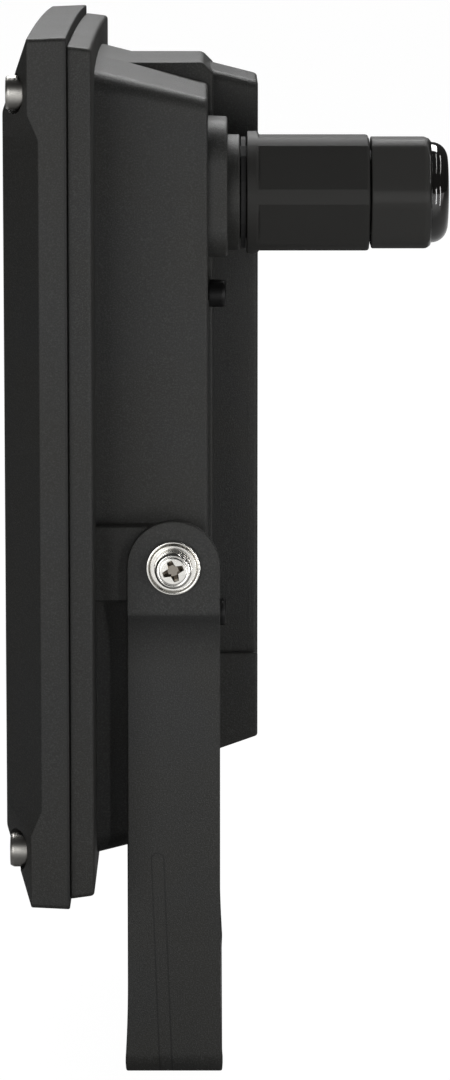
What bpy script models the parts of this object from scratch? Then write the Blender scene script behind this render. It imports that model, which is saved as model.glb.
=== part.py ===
"""LED flood light: a cast head on a steel U-bracket, built piece by piece.

World axes: +X is the side of the cable gland, -Y is the lit front, +Z is up.
The origin is the middle of the underside of the bracket's base.
Each head piece is modelled in the face frame, whose x is +X, whose y is up from the middle
of the head, and whose z runs forward from the tilt axis, towards the lit front.
"""
import math

import bpy
import bmesh
from mathutils import Matrix, Vector

# Clearances and the fineness of round stretches
SEAT_GAP = 0.0003
OVERRUN = 0.001
THREAD_CLEARANCE = 0.0003
ROUND_STEPS = 24
SMALL_ROUND_STEPS = 12
LARGE_ROUND_STEPS = 36
CORNER_STEPS = 3
CROWN_STEPS = 4
BEND_STEPS = 4
SHARP_ANGLE = math.radians(35)

# Housing body, whose width and height the ears, the gland and the driver's box follow
HEAD_RISE = 0.0266
BEZEL_WIDTH = 0.200
BEZEL_HEIGHT = 0.2265
BODY_WIDTH = 0.136
BODY_END_INSET = 0.00875
BODY_HEIGHT = BEZEL_HEIGHT - 2 * BODY_END_INSET
LUG_STAND_OUT = 0.0052
LUG_FACE = BODY_WIDTH / 2 + LUG_STAND_OUT

# Bracket: one bent strip of steel, with an ear at each end that carries the head
PIVOT_HEIGHT = 0.1377
STRIP_WIDTH = 0.0246
STRIP_THICKNESS = 0.003
EAR_PLANE = LUG_FACE + SEAT_GAP + STRIP_THICKNESS
EAR_OUTSET = 0.002
EAR_DROP = 0.0124
EAR_STEP_HEIGHT = 0.0109
BASE_BEND_RADIUS = 0.0045
STRIP_EDGE = 0.0004
SLOT_SPACING = 0.080
SLOT_LENGTH = 0.018
SLOT_WIDTH = 0.007

# Bezel: the cast front frame that holds the glass
PARTING_FORWARD = 0.0270
BEZEL_DEPTH = 0.0167
BEZEL_CORNER = 0.0025
BEZEL_EDGE = 0.0006
BEZEL_CROWN = 0.0011
BEZEL_DRAFT = 0.0004
SIDE_SLOPE_RUN = 0.014
END_SLOPE_RUN = 0.0196
RIM_WIDTH = BEZEL_WIDTH - 2 * SIDE_SLOPE_RUN
RIM_HEIGHT = BEZEL_HEIGHT - 2 * END_SLOPE_RUN
RIM_DROP = 0.0068
RELIEF_DROP = 0.0096
RELIEF_END_INSET = 0.00665
RELIEF_LENGTH = RIM_HEIGHT - 2 * RELIEF_END_INSET
RELIEF_END_RUN = 0.0066
RIM_SIDE_FLAT = 0.010
RIM_END_FLAT = 0.01165
WINDOW_WIDTH = RIM_WIDTH - 2 * RIM_SIDE_FLAT
WINDOW_HEIGHT = RIM_HEIGHT - 2 * RIM_END_FLAT
WINDOW_CORNER = 0.004
WINDOW_FLARE = 0.0025
LIP_THICKNESS = 0.0022

# Glass, its gasket, and the frame that presses them against the bezel
GLASS_LAP = 0.0075
GLASS_WIDTH = WINDOW_WIDTH + 2 * GLASS_LAP
GLASS_HEIGHT = WINDOW_HEIGHT + 2 * GLASS_LAP
GLASS_THICKNESS = 0.004
GLASS_CORNER = 0.004
GLASS_EDGE_CLEARANCE = 0.0005
GASKET_THICKNESS = 0.001
FRAME_INSET = 0.002
FRAME_FOOT = 0.0105
FRAME_BRIM = 0.006

# Bezel screws: stainless socket heads, one in each corner
BEZEL_SCREW_INSET_X = 0.008
BEZEL_SCREW_INSET_Y = 0.0145
BEZEL_SCREW_SEAT_DROP = 0.0061
BEZEL_SCREW_HEAD_RADIUS = 0.0045
BEZEL_SCREW_HEAD_HEIGHT = 0.0046
BEZEL_SCREW_RADIUS = 0.0025
BEZEL_SCREW_REACH = 0.0052
BEZEL_SCREW_SOCKET = 0.0023
BEZEL_SCREW_POCKET_CLEARANCE = 0.001

# Housing: the casting behind the bezel
FLANGE_INSET = 0.0023
FLANGE_DRAFT = 0.0007
FLANGE_THICKNESS = 0.0062
FLANGE_EDGE = 0.0009
BODY_SINK = 0.0013
BODY_DEPTH = 0.0296
BODY_SIDE_DRAFT = 0.002
BODY_TOP_DRAFT = 0.0075
BODY_CORNER = 0.0045
BODY_CROWN = 0.0026
BODY_EDGE = 0.0012
BODY_SIDE_WALL = 0.0035
BODY_END_WALL = 0.005
BODY_REAR_WALL = 0.003
RECESS_DEPTH = 0.0034
RIDGE_WIDTH = 0.058
RIDGE_TOP_INSET = 0.0012
RIDGE_TOP = BODY_HEIGHT / 2 - RIDGE_TOP_INSET
RIDGE_FRONT = 0.014
RIDGE_CHAMFER_RUN = 0.003
RIDGE_CHAMFER_DROP = 0.003
RIDGE_DEPTH = 0.0133
RIDGE_ROOT = RIDGE_TOP - RIDGE_DEPTH
REAR_PANEL_RISE = 0.0014
REAR_PANEL_END_INSET = 0.015
REAR_PANEL_END = REAR_PANEL_END_INSET - BODY_HEIGHT / 2
LUG_RADIUS = 0.010
LUG_RISE = 0.0004
LUG_SINK = 0.008
LUG_ROOT = BODY_WIDTH / 2 - LUG_SINK

# Seal between the bezel and the housing
SEAL_WIDTH = 0.0024
SEAL_THICKNESS = 0.0019
SEAL_SIDE_CLEARANCE = 0.0003
SEAL_INSET_X = 0.0128
SEAL_INSET_Y = 0.0068
SEAL_CORNER = 0.020

# Light engine: heat spreader, LED board and lens plate
SPREADER_SIDE_INSET = 0.0035
SPREADER_END_INSET = 0.0025
SPREADER_WIDTH = GLASS_WIDTH - 2 * SPREADER_SIDE_INSET
SPREADER_HEIGHT = GLASS_HEIGHT - 2 * SPREADER_END_INSET
SPREADER_THICKNESS = 0.003
SPREADER_CORNER = 0.003
SPREADER_CLEARANCE = 0.002
BOARD_SIDE_CLEARANCE = 0.002
BOARD_END_CLEARANCE = 0.0005
BOARD_WIDTH = GLASS_WIDTH - 2 * (FRAME_INSET + FRAME_FOOT + BOARD_SIDE_CLEARANCE)
BOARD_HEIGHT = GLASS_HEIGHT - 2 * (FRAME_INSET + FRAME_FOOT + BOARD_END_CLEARANCE)
BOARD_THICKNESS = 0.0016
LED_SIZE = 0.0035
LED_HEIGHT = 0.0008
LED_SINK = 0.0002
LED_COLUMNS = 4
LED_ROWS = 5
LED_SIDE_MARGIN = 0.024
LED_END_MARGIN = 0.0185
LED_PITCH_X = (BOARD_WIDTH - 2 * LED_SIDE_MARGIN) / (LED_COLUMNS - 1)
LED_PITCH_Y = (BOARD_HEIGHT - 2 * LED_END_MARGIN) / (LED_ROWS - 1)
LENS_PLATE_INSET = 0.002
LENS_PLATE_THICKNESS = 0.0015
LENS_PLATE_LIFT = 0.0016
LENS_RADIUS_SHARE = 0.37
LENS_TOP_SHARE = 0.2
LENS_RADIUS = min(LED_PITCH_X, LED_PITCH_Y) * LENS_RADIUS_SHARE
LENS_TOP_RADIUS = min(LED_PITCH_X, LED_PITCH_Y) * LENS_TOP_SHARE
LENS_HEIGHT = 0.0035
LENS_SINK = 0.0005
LENS_POST_RADIUS = 0.0036
LENS_SCREW_INSET = 0.0075
LENS_SCREW_RADIUS = 0.0015
LENS_SCREW_HEAD_RADIUS = 0.0028
LENS_SCREW_HEAD_HEIGHT = 0.0016
LENS_SCREW_REACH = 0.0022
BOARD_CORNER = 0.003
LEAD_HOLE_RADIUS = 0.003
LEAD_HOLE_DROP = 0.0053

# Gland boss: the pad and collar on the rear wall, with larger corners above than below
GLAND_INSET_X = 0.025
GLAND_INSET_Y = 0.0351
GLAND_X = BODY_WIDTH / 2 - GLAND_INSET_X
GLAND_Y = BODY_HEIGHT / 2 - GLAND_INSET_Y
GLAND_BOSS_WIDTH = 0.0398
GLAND_BOSS_TOP = 0.0197
GLAND_BOSS_BOTTOM = 0.016
GLAND_BOSS_TOP_CORNER = 0.0117
GLAND_BOSS_BOTTOM_CORNER = 0.008
GLAND_BOSS_HEIGHT = 0.0052
GLAND_BOSS_DRAFT = 0.0003
GLAND_BOSS_EDGE = 0.0012
GLAND_COLLAR_RADIUS = 0.0154
GLAND_COLLAR_HEIGHT = 0.0033

# Driver box: the part of the casting that stands out behind, with its foot
BOX_WIDTH_SHARE = 0.309
BOX_WIDTH = BODY_WIDTH * BOX_WIDTH_SHARE
BOX_TOP_INSET = 0.0022
BOX_TOP = RIDGE_TOP - BOX_TOP_INSET
BOX_BOTTOM_INSET = 0.0192
BOX_BOTTOM = BOX_BOTTOM_INSET - BODY_HEIGHT / 2
BOX_DEPTH = 0.0106
BOX_TOP_DRAFT = math.radians(14)
BOX_BOTTOM_DRAFT = math.radians(19)
BOX_SIDE_DRAFT = math.radians(3)
BOX_CORNER = 0.003
BOX_FOOT_OUTSET = 0.003
BOX_FOOT_WIDTH = BOX_WIDTH + 2 * BOX_FOOT_OUTSET
BOX_FOOT_HEIGHT = 0.0267
BOX_FOOT_TOP = BOX_BOTTOM + BOX_FOOT_HEIGHT
BOX_FOOT_EDGE = 0.0006
BOX_SIDE_WALL = 0.0045
BOX_TOP_END = 0.0238
BOX_BOTTOM_END = 0.0246
WINDOW_REAR_WIDTH = BOX_WIDTH - 2 * BOX_SIDE_WALL
WINDOW_REAR_TOP = BOX_TOP - BOX_TOP_END
WINDOW_REAR_BOTTOM = BOX_BOTTOM + BOX_BOTTOM_END
WINDOW_REAR_HEIGHT = WINDOW_REAR_TOP - WINDOW_REAR_BOTTOM
WINDOW_REAR_MIDDLE = (WINDOW_REAR_TOP + WINDOW_REAR_BOTTOM) / 2
LEAD_HOLE_Y = LEAD_HOLE_DROP - WINDOW_REAR_BOTTOM

# Rear screws: black dome heads that hold the heat spreader from behind
REAR_SCREW_SIDE_INSET = 0.033
REAR_SCREW_SPACING_X = BODY_WIDTH - 2 * REAR_SCREW_SIDE_INSET
REAR_SCREW_BELOW_BOSS = 0.0118
REAR_SCREW_HIGH = GLAND_Y - GLAND_BOSS_BOTTOM - REAR_SCREW_BELOW_BOSS
REAR_SCREW_OVER_BOX_END = 0.0401
REAR_SCREW_LOW = BOX_BOTTOM + REAR_SCREW_OVER_BOX_END
REAR_SCREW_HEAD_RADIUS = 0.0037
REAR_SCREW_HEAD_HEIGHT = 0.0045
REAR_SCREW_RADIUS = 0.002
REAR_SCREW_REACH = 0.0018
REAR_BOSS_RADIUS = 0.0055

# Rear cover: a flat plate on the box, with its gasket and four countersunk screws
COVER_THICKNESS = 0.0026
COVER_EDGE = 0.0009
COVER_SPIGOT = 0.001
COVER_GASKET_MARGIN = 0.0008
COVER_GASKET_WIDTH = 0.0016
COVER_GASKET_THICKNESS = 0.0012
COVER_SCREW_SIDE_INSET = 0.007
COVER_SCREW_SPACING_X = BOX_WIDTH - 2 * COVER_SCREW_SIDE_INSET
COVER_SCREW_INSET = 0.0125
COVER_SCREW_RADIUS = 0.002
COVER_SCREW_HEAD_RADIUS = 0.0036
COVER_SCREW_HEAD_HEIGHT = 0.0016
COVER_SCREW_REACH = 0.006

# Driver, its two screws, the terminal block and the earth screw
DRIVER_SIDE_CLEARANCE = 0.0025
DRIVER_END_CLEARANCE = 0.003
DRIVER_WIDTH = WINDOW_REAR_WIDTH - 2 * DRIVER_SIDE_CLEARANCE
DRIVER_HEIGHT = WINDOW_REAR_HEIGHT - 2 * DRIVER_END_CLEARANCE
DRIVER_FORWARD = 0.006
DRIVER_EDGE = 0.0008
TAB_WIDTH = 0.016
TAB_REACH = 0.013
TAB_HEIGHT = DRIVER_HEIGHT + 2 * TAB_REACH
TAB_THICKNESS = 0.0022
DRIVER_SCREW_INSET = 0.005
DRIVER_SCREW_RADIUS = 0.0015
DRIVER_SCREW_HEAD_RADIUS = 0.0028
DRIVER_SCREW_HEAD_HEIGHT = 0.0018
DRIVER_SCREW_REACH = 0.0018
TERMINAL_SIDE_INSET = 0.026
TERMINAL_END_INSET = 0.0425
TERMINAL_X = TERMINAL_SIDE_INSET - BODY_WIDTH / 2
TERMINAL_Y = BODY_HEIGHT / 2 - TERMINAL_END_INSET
TERMINAL_WIDTH = 0.024
TERMINAL_HEIGHT = 0.020
TERMINAL_DEPTH = 0.014
TERMINAL_WAY_RADIUS = 0.0016
TERMINAL_WAY_DEPTH = 0.004
TERMINAL_WAY_PITCH = 0.0072
TERMINAL_EDGE = 0.0006
EARTH_X = TERMINAL_X
EARTH_Y = 0.018
EARTH_BOSS_RADIUS = 0.0045
EARTH_BOSS_HEIGHT = 0.005
EARTH_SCREW_RADIUS = 0.002
EARTH_SCREW_HEAD_RADIUS = 0.004
EARTH_SCREW_HEAD_HEIGHT = 0.0026
EARTH_SCREW_REACH = 0.004

# Leads inside the head
LEAD_RADIUS = 0.0009
LEAD_BEND = 0.004
LEAD_ENTRY = 0.003
LEAD_ARCH = 0.006
LEAD_SPACING = 0.0028
SUPPLY_LEAD_REACH = 0.012

# Cable gland
GLAND_THREAD_RADIUS = 0.0123
GLAND_THREAD_INSIDE = 0.0065
GLAND_RING_THICKNESS = 0.0012
GLAND_RING_RADIUS = 0.0148
GLAND_FLANGE_RADIUS = 0.0164
GLAND_FLANGE_THICKNESS = 0.003
GLAND_BODY_FLATS = 0.030
GLAND_BODY_LENGTH = 0.0295
GLAND_BODY_CORNER = 0.0163
GLAND_BODY_CHAMFER = 0.0007
GLAND_NECK_RADIUS = 0.0113
GLAND_NECK_LENGTH = 0.009
GLAND_BORE_RADIUS = 0.007
GLAND_SEAL_RADIUS = 0.0085
GLAND_SEAL_BORE = 0.0052
GLAND_SEAL_LENGTH = 0.016
GLAND_CAP_FLATS = 0.0289
GLAND_CAP_CORNER = 0.0158
GLAND_CAP_HEX_LENGTH = 0.0162
GLAND_CAP_DOME = 0.0043
GLAND_CAP_DOME_RADIUS = 0.0134
GLAND_CAP_MOUTH = 0.0080
GLAND_CAP_CHAMFER = 0.0003
GLAND_CAP_SHOULDER = 0.0022
GLAND_CAP_GAP = 0.0005
GLAND_CLAMP_WALL = 0.0013
GLAND_CLAMP_LENGTH = 0.006
GLAND_CLAMP_SLOTS = 3
GLAND_CLAMP_SLOT_WIDTH = 0.0016
LOCK_NUT_FLATS = 0.031
LOCK_NUT_THICKNESS = 0.005

# Pivot fasteners: pan head bolt, split washer and flat washer at each ear
BOLT_RADIUS = 0.0025
BOLT_GRIP = 0.0072
BOLT_TIP = LUG_FACE - BOLT_GRIP
BOLT_HEAD_RADIUS = 0.0047
BOLT_HEAD_HEIGHT = 0.0034
BOLT_RECESS_WIDTH = 0.0013
BOLT_RECESS_LENGTH = 0.0052
BOLT_RECESS_DEPTH = 0.002
WASHER_RADIUS = 0.0072
WASHER_THICKNESS = 0.0012
SPRING_WASHER_RADIUS = 0.0046
SPRING_WASHER_THICKNESS = 0.0012
SPRING_WASHER_SPLIT = 0.0008

# Places along z in the face frame, worked out from the sizes above
BEZEL_BACK = PARTING_FORWARD
BEZEL_FRONT = BEZEL_BACK + BEZEL_DEPTH
HOUSING_FRONT = BEZEL_BACK - SEAT_GAP
FLANGE_BACK = HOUSING_FRONT - FLANGE_THICKNESS
BODY_BACK = FLANGE_BACK - BODY_DEPTH
BODY_FLOOR = BODY_BACK + BODY_REAR_WALL
RECESS_FLOOR = HOUSING_FRONT - RECESS_DEPTH
SPREADER_BACK = RECESS_FLOOR + SEAT_GAP
SPREADER_FRONT = SPREADER_BACK + SPREADER_THICKNESS
BOARD_BACK = SPREADER_FRONT + SEAT_GAP
BOARD_FRONT = BOARD_BACK + BOARD_THICKNESS
LENS_BACK = BOARD_FRONT + LENS_PLATE_LIFT
LENS_FRONT = LENS_BACK + LENS_PLATE_THICKNESS
LIP_BACK = BEZEL_FRONT - LIP_THICKNESS
GASKET_FRONT = LIP_BACK - SEAT_GAP
GLASS_FRONT = GASKET_FRONT - GASKET_THICKNESS - SEAT_GAP
GLASS_BACK = GLASS_FRONT - GLASS_THICKNESS
FRAME_FRONT = GLASS_BACK - SEAT_GAP
FRAME_BACK = SPREADER_FRONT + SEAT_GAP
BEZEL_SEAT = BEZEL_FRONT - BEZEL_SCREW_SEAT_DROP
BOX_FACE = BODY_BACK - BOX_DEPTH
COVER_FRONT = BOX_FACE - SEAT_GAP
COVER_BACK = COVER_FRONT - COVER_THICKNESS
SPIGOT_FRONT = BOX_FACE + COVER_SPIGOT
GLAND_BOSS_END = BODY_BACK - GLAND_BOSS_HEIGHT
GLAND_COLLAR_END = GLAND_BOSS_END - GLAND_COLLAR_HEIGHT
GLAND_RING_START = GLAND_COLLAR_END - SEAT_GAP
GLAND_FLANGE_START = GLAND_RING_START - GLAND_RING_THICKNESS - SEAT_GAP
GLAND_HEX_START = GLAND_FLANGE_START - GLAND_FLANGE_THICKNESS
GLAND_HEX_END = GLAND_HEX_START - GLAND_BODY_LENGTH
GLAND_NECK_END = GLAND_HEX_END - GLAND_NECK_LENGTH
GLAND_CAP_START = GLAND_HEX_END - GLAND_CAP_GAP
GLAND_CAP_HEX_END = GLAND_CAP_START - GLAND_CAP_HEX_LENGTH
GLAND_CAP_END = GLAND_CAP_HEX_END - GLAND_CAP_DOME
TILT_Y = -HEAD_RISE


def clear_scene():
    """Empty the file, so that the script gives the same result each run."""
    for thing in list(bpy.data.objects):
        bpy.data.objects.remove(thing, do_unlink=True)
    for group in list(bpy.data.collections):
        bpy.data.collections.remove(group)


clear_scene()
PARTS = bpy.data.collections.new("flood_light")
CUTTERS = bpy.data.collections.new("cutters")
bpy.context.scene.collection.children.link(PARTS)
bpy.context.scene.collection.children.link(CUTTERS)


def make_empty(name, parent, location, rotation=(0, 0, 0)):
    """Add an empty that carries other pieces."""
    frame = bpy.data.objects.new(name, None)
    frame.parent = parent
    frame.location = location
    frame.rotation_euler = rotation
    PARTS.objects.link(frame)
    return frame


TILT_AXIS = make_empty("tilt_axis", None, (0, 0, PIVOT_HEIGHT))
FACE = make_empty("head_face", TILT_AXIS, (0, 0, HEAD_RISE), (math.radians(90), 0, 0))
CAP_AXIS = make_empty("gland_cap_axis", FACE, (GLAND_X, GLAND_Y, 0))


def finish(name, color, roughness, metallic):
    """Make one material for a finish."""
    surface = bpy.data.materials.new(name)
    surface.use_nodes = True
    shader = surface.node_tree.nodes["Principled BSDF"]
    shader.inputs["Base Color"].default_value = (*color, 1)
    shader.inputs["Roughness"].default_value = roughness
    shader.inputs["Metallic"].default_value = metallic
    return surface


CHARCOAL = finish("charcoal_powder_coat", (0.040, 0.041, 0.042), 0.55, 0.0)
BLACK_STEEL = finish("charcoal_coated_steel", (0.036, 0.037, 0.037), 0.5, 0.0)
STAINLESS = finish("stainless_steel", (0.62, 0.61, 0.58), 0.28, 1.0)
BLACK_NYLON = finish("black_nylon", (0.008, 0.008, 0.009), 0.35, 0.0)
BLACK_RUBBER = finish("black_rubber", (0.015, 0.015, 0.015), 0.8, 0.0)
ALUMINIUM = finish("plain_aluminium", (0.75, 0.76, 0.77), 0.35, 1.0)
WHITE_BOARD = finish("white_board", (0.85, 0.85, 0.83), 0.45, 0.0)
CLEAR_GLASS = finish("tempered_glass", (0.8, 0.85, 0.85), 0.03, 0.0)
CLEAR_LENS = finish("clear_lens", (0.85, 0.87, 0.88), 0.1, 0.0)
GREY_FRAME = finish("satin_black_plastic", (0.02, 0.02, 0.021), 0.4, 0.0)
DRIVER_CASE = finish("driver_case", (0.7, 0.71, 0.72), 0.4, 0.0)
BLACK_SCREW = finish("black_screw", (0.012, 0.012, 0.012), 0.4, 0.6)
BROWN_LEAD = finish("brown_lead", (0.09, 0.03, 0.012), 0.5, 0.0)
BLUE_LEAD = finish("blue_lead", (0.02, 0.07, 0.3), 0.5, 0.0)
GREEN_LEAD = finish("green_lead", (0.08, 0.25, 0.03), 0.5, 0.0)
RED_LEAD = finish("red_lead", (0.35, 0.02, 0.02), 0.5, 0.0)
BLACK_LEAD = finish("black_lead", (0.01, 0.01, 0.01), 0.5, 0.0)


def place(thing, surface, parent=None, location=(0, 0, 0), rotation=(0, 0, 0)):
    """Put an object in the part's collection, or among the cutters if it has no surface."""
    thing.parent = parent
    thing.location = location
    thing.rotation_euler = rotation
    if surface is None:
        thing.hide_render = True
        thing.display_type = "WIRE"
        CUTTERS.objects.link(thing)
    else:
        thing.data.materials.append(surface)
        PARTS.objects.link(thing)
    return thing


def object_from(bm, name):
    """Turn a bmesh into an object that isn't in a collection yet."""
    bmesh.ops.recalc_face_normals(bm, faces=bm.faces)
    mesh = bpy.data.meshes.new(name)
    bm.to_mesh(mesh)
    bm.free()
    return bpy.data.objects.new(name, mesh)


def rounded_outline(width, height, radius, crown=0.0, middle=0.0):
    """Points of a rectangle with round corners, and bowed top and bottom edges."""
    reach_x = width / 2 - radius
    reach_y = height / 2 - radius
    points = []
    for turn, (side_x, side_y) in enumerate(((1, 1), (-1, 1), (-1, -1), (1, -1))):
        for step in range(CORNER_STEPS + 1):
            angle = math.radians(90) * (turn + step / CORNER_STEPS)
            points.append((side_x * reach_x + radius * math.cos(angle),
                           side_y * reach_y + radius * math.sin(angle) + middle))
        if crown and turn % 2 == 0:
            for step in range(1, CROWN_STEPS):
                share = 1 - 2 * step / CROWN_STEPS
                rise = height / 2 + crown * (1 - share ** 2)
                points.append((side_x * share * reach_x, side_y * rise + middle))
    return points


def loft(name, rings):
    """A closed solid through outlines that have the same number of points."""
    bm = bmesh.new()
    rows = [[bm.verts.new((x, y, z)) for x, y in outline] for outline, z in rings]
    for row, following in zip(rows, rows[1:]):
        for index in range(len(row)):
            after = (index + 1) % len(row)
            bm.faces.new((row[index], row[after], following[after], following[index]))
    bm.faces.new(rows[0])
    bm.faces.new(rows[-1])
    return object_from(bm, name)


def block(name, size, middle):
    """A plain box."""
    bm = bmesh.new()
    bmesh.ops.create_cube(bm, size=1)
    bmesh.ops.scale(bm, vec=size, verts=bm.verts)
    bmesh.ops.translate(bm, vec=middle, verts=bm.verts)
    return object_from(bm, name)


def rods(name, places, radius, start, end, segments=SMALL_ROUND_STEPS, end_radius=None):
    """Cylinders or cones along z, one at each place, in one mesh."""
    bm = bmesh.new()
    for x, y in places:
        made = bmesh.ops.create_cone(
            bm, cap_ends=True, segments=segments, depth=abs(end - start),
            radius1=radius if start < end else (end_radius or radius),
            radius2=(end_radius or radius) if start < end else radius)
        turn = Matrix.Rotation(math.pi / segments, 3, "Z")
        bmesh.ops.rotate(bm, verts=made["verts"], matrix=turn)
        bmesh.ops.translate(bm, vec=(x, y, (start + end) / 2), verts=made["verts"])
    return object_from(bm, name)


def hexagon(name, flats, start, end):
    """A hexagonal prism along z with its flats up and down."""
    return rods(name, ((0, 0),), flats / 2 / math.cos(math.radians(30)), start, end, segments=6)


def turned(name, profile, closed=False, steps=ROUND_STEPS):
    """A turned shape about z: its profile runs down the outer side, from top to bottom."""
    mesh = bpy.data.meshes.new(name)
    edges = [(index, index + 1) for index in range(len(profile) - 1)]
    if closed:
        edges.append((len(profile) - 1, 0))
    mesh.from_pydata([(radius, 0, z) for radius, z in profile], edges, [])
    thing = bpy.data.objects.new(name, mesh)
    screw = thing.modifiers.new("turn", "SCREW")
    screw.axis = "Z"
    screw.steps = steps
    screw.render_steps = steps
    screw.use_merge_vertices = True
    screw.merge_threshold = SEAT_GAP / 30
    return thing


def ring_profile(inner, outer, top, bottom):
    """The profile of a plain washer or bush."""
    return [(outer, top), (outer, bottom), (inner, bottom), (inner, top)]


def prism(name, outlines, thickness):
    """A flat piece in the x and y plane, from 2D curves; inner outlines are openings."""
    curve = bpy.data.curves.new(name, "CURVE")
    curve.dimensions = "2D"
    curve.fill_mode = "BOTH"
    curve.extrude = thickness / 2
    for outline in outlines:
        spline = curve.splines.new("POLY")
        spline.points.add(len(outline) - 1)
        for point, (x, y) in zip(spline.points, outline):
            point.co = (x, y, 0, 1)
        spline.use_cyclic_u = True
    drawn = bpy.data.objects.new(name, curve)
    PARTS.objects.link(drawn)
    bpy.context.view_layer.update()
    evaluated = drawn.evaluated_get(bpy.context.evaluated_depsgraph_get())
    mesh = bpy.data.meshes.new_from_object(evaluated)
    bpy.data.objects.remove(drawn, do_unlink=True)
    bm = bmesh.new()
    bm.from_mesh(mesh)
    bpy.data.meshes.remove(mesh)
    bmesh.ops.remove_doubles(bm, verts=bm.verts, dist=SEAT_GAP / 30)
    return object_from(bm, name)


def circle(x, y, radius, steps=SMALL_ROUND_STEPS):
    """Points of a circle."""
    turns = [2 * math.pi * step / steps for step in range(steps)]
    return [(x + radius * math.cos(turn), y + radius * math.sin(turn)) for turn in turns]


def cut(thing, cutter, operation="DIFFERENCE"):
    """Cut a piece, or join or limit it, with a Boolean modifier."""
    change = thing.modifiers.new(cutter.name, "BOOLEAN")
    change.operation = operation
    change.solver = "EXACT"
    change.object = cutter


def round_edges(thing, width, segments=2):
    """Round the sharp edges of a piece."""
    bevel = thing.modifiers.new("round", "BEVEL")
    bevel.width = width
    bevel.segments = segments
    bevel.limit_method = "ANGLE"
    bevel.angle_limit = SHARP_ANGLE
    bevel.use_clamp_overlap = True


def smooth(thing):
    """Shade a round piece smooth, with its sharp edges kept."""
    thing.data.shade_smooth()
    thing.data.set_sharp_from_angle(angle=SHARP_ANGLE)


def four_corners(half_x, half_y):
    """The four places at plus and minus two distances."""
    return [(x, y) for y in (half_y, -half_y) for x in (half_x, -half_x)]


def make_bracket():
    """The steel strip: down from one ear, across the base and up to the other."""
    half = STRIP_THICKNESS / 2
    ear_x = EAR_PLANE - half
    arm_x = ear_x - EAR_OUTSET
    bend = BASE_BEND_RADIUS
    step_top = PIVOT_HEIGHT - EAR_DROP
    right = [(ear_x, PIVOT_HEIGHT), (ear_x, step_top), (arm_x, step_top - EAR_STEP_HEIGHT)]
    for step in range(BEND_STEPS + 1):
        angle = math.radians(90) * step / BEND_STEPS
        right.append((arm_x - bend + bend * math.cos(angle), half + bend - bend * math.sin(angle)))
    path = right + [(-x, z) for x, z in reversed(right)]
    bm = bmesh.new()
    reach = STRIP_WIDTH / 2
    rows = [(bm.verts.new((x, -reach, z)), bm.verts.new((x, reach, z))) for x, z in path]
    for (near, far), (next_near, next_far) in zip(rows, rows[1:]):
        bm.faces.new((near, far, next_far, next_near))
    for (near, far), side in ((rows[0], 1), (rows[-1], -1)):
        arc = [near]
        for step in range(1, 2 * BEND_STEPS):
            angle = math.radians(180) * step / (2 * BEND_STEPS)
            arc.append(bm.verts.new((side * ear_x, -reach * math.cos(angle),
                                     PIVOT_HEIGHT + reach * math.sin(angle))))
        bm.faces.new(arc + [far])
    bracket = place(object_from(bm, "bracket"), BLACK_STEEL)
    shell = bracket.modifiers.new("sheet", "SOLIDIFY")
    shell.thickness = STRIP_THICKNESS
    shell.offset = 0
    shell.use_even_offset = True
    round_edges(bracket, STRIP_EDGE)
    bores = rods("ear_bores", ((0, 0),), BOLT_RADIUS + THREAD_CLEARANCE,
                 -EAR_PLANE - OVERRUN, EAR_PLANE + OVERRUN)
    cut(bracket, place(bores, None, TILT_AXIS, rotation=(0, math.radians(90), 0)))
    straight = (SLOT_LENGTH - SLOT_WIDTH) / 2
    for side in (1, -1):
        outline = rounded_outline(SLOT_LENGTH, SLOT_WIDTH, SLOT_WIDTH / 2 - SEAT_GAP)
        slot = prism("base_slot", [outline], STRIP_THICKNESS + 2 * OVERRUN)
        cut(bracket, place(slot, None, location=(side * SLOT_SPACING / 2, 0, half)))


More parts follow.
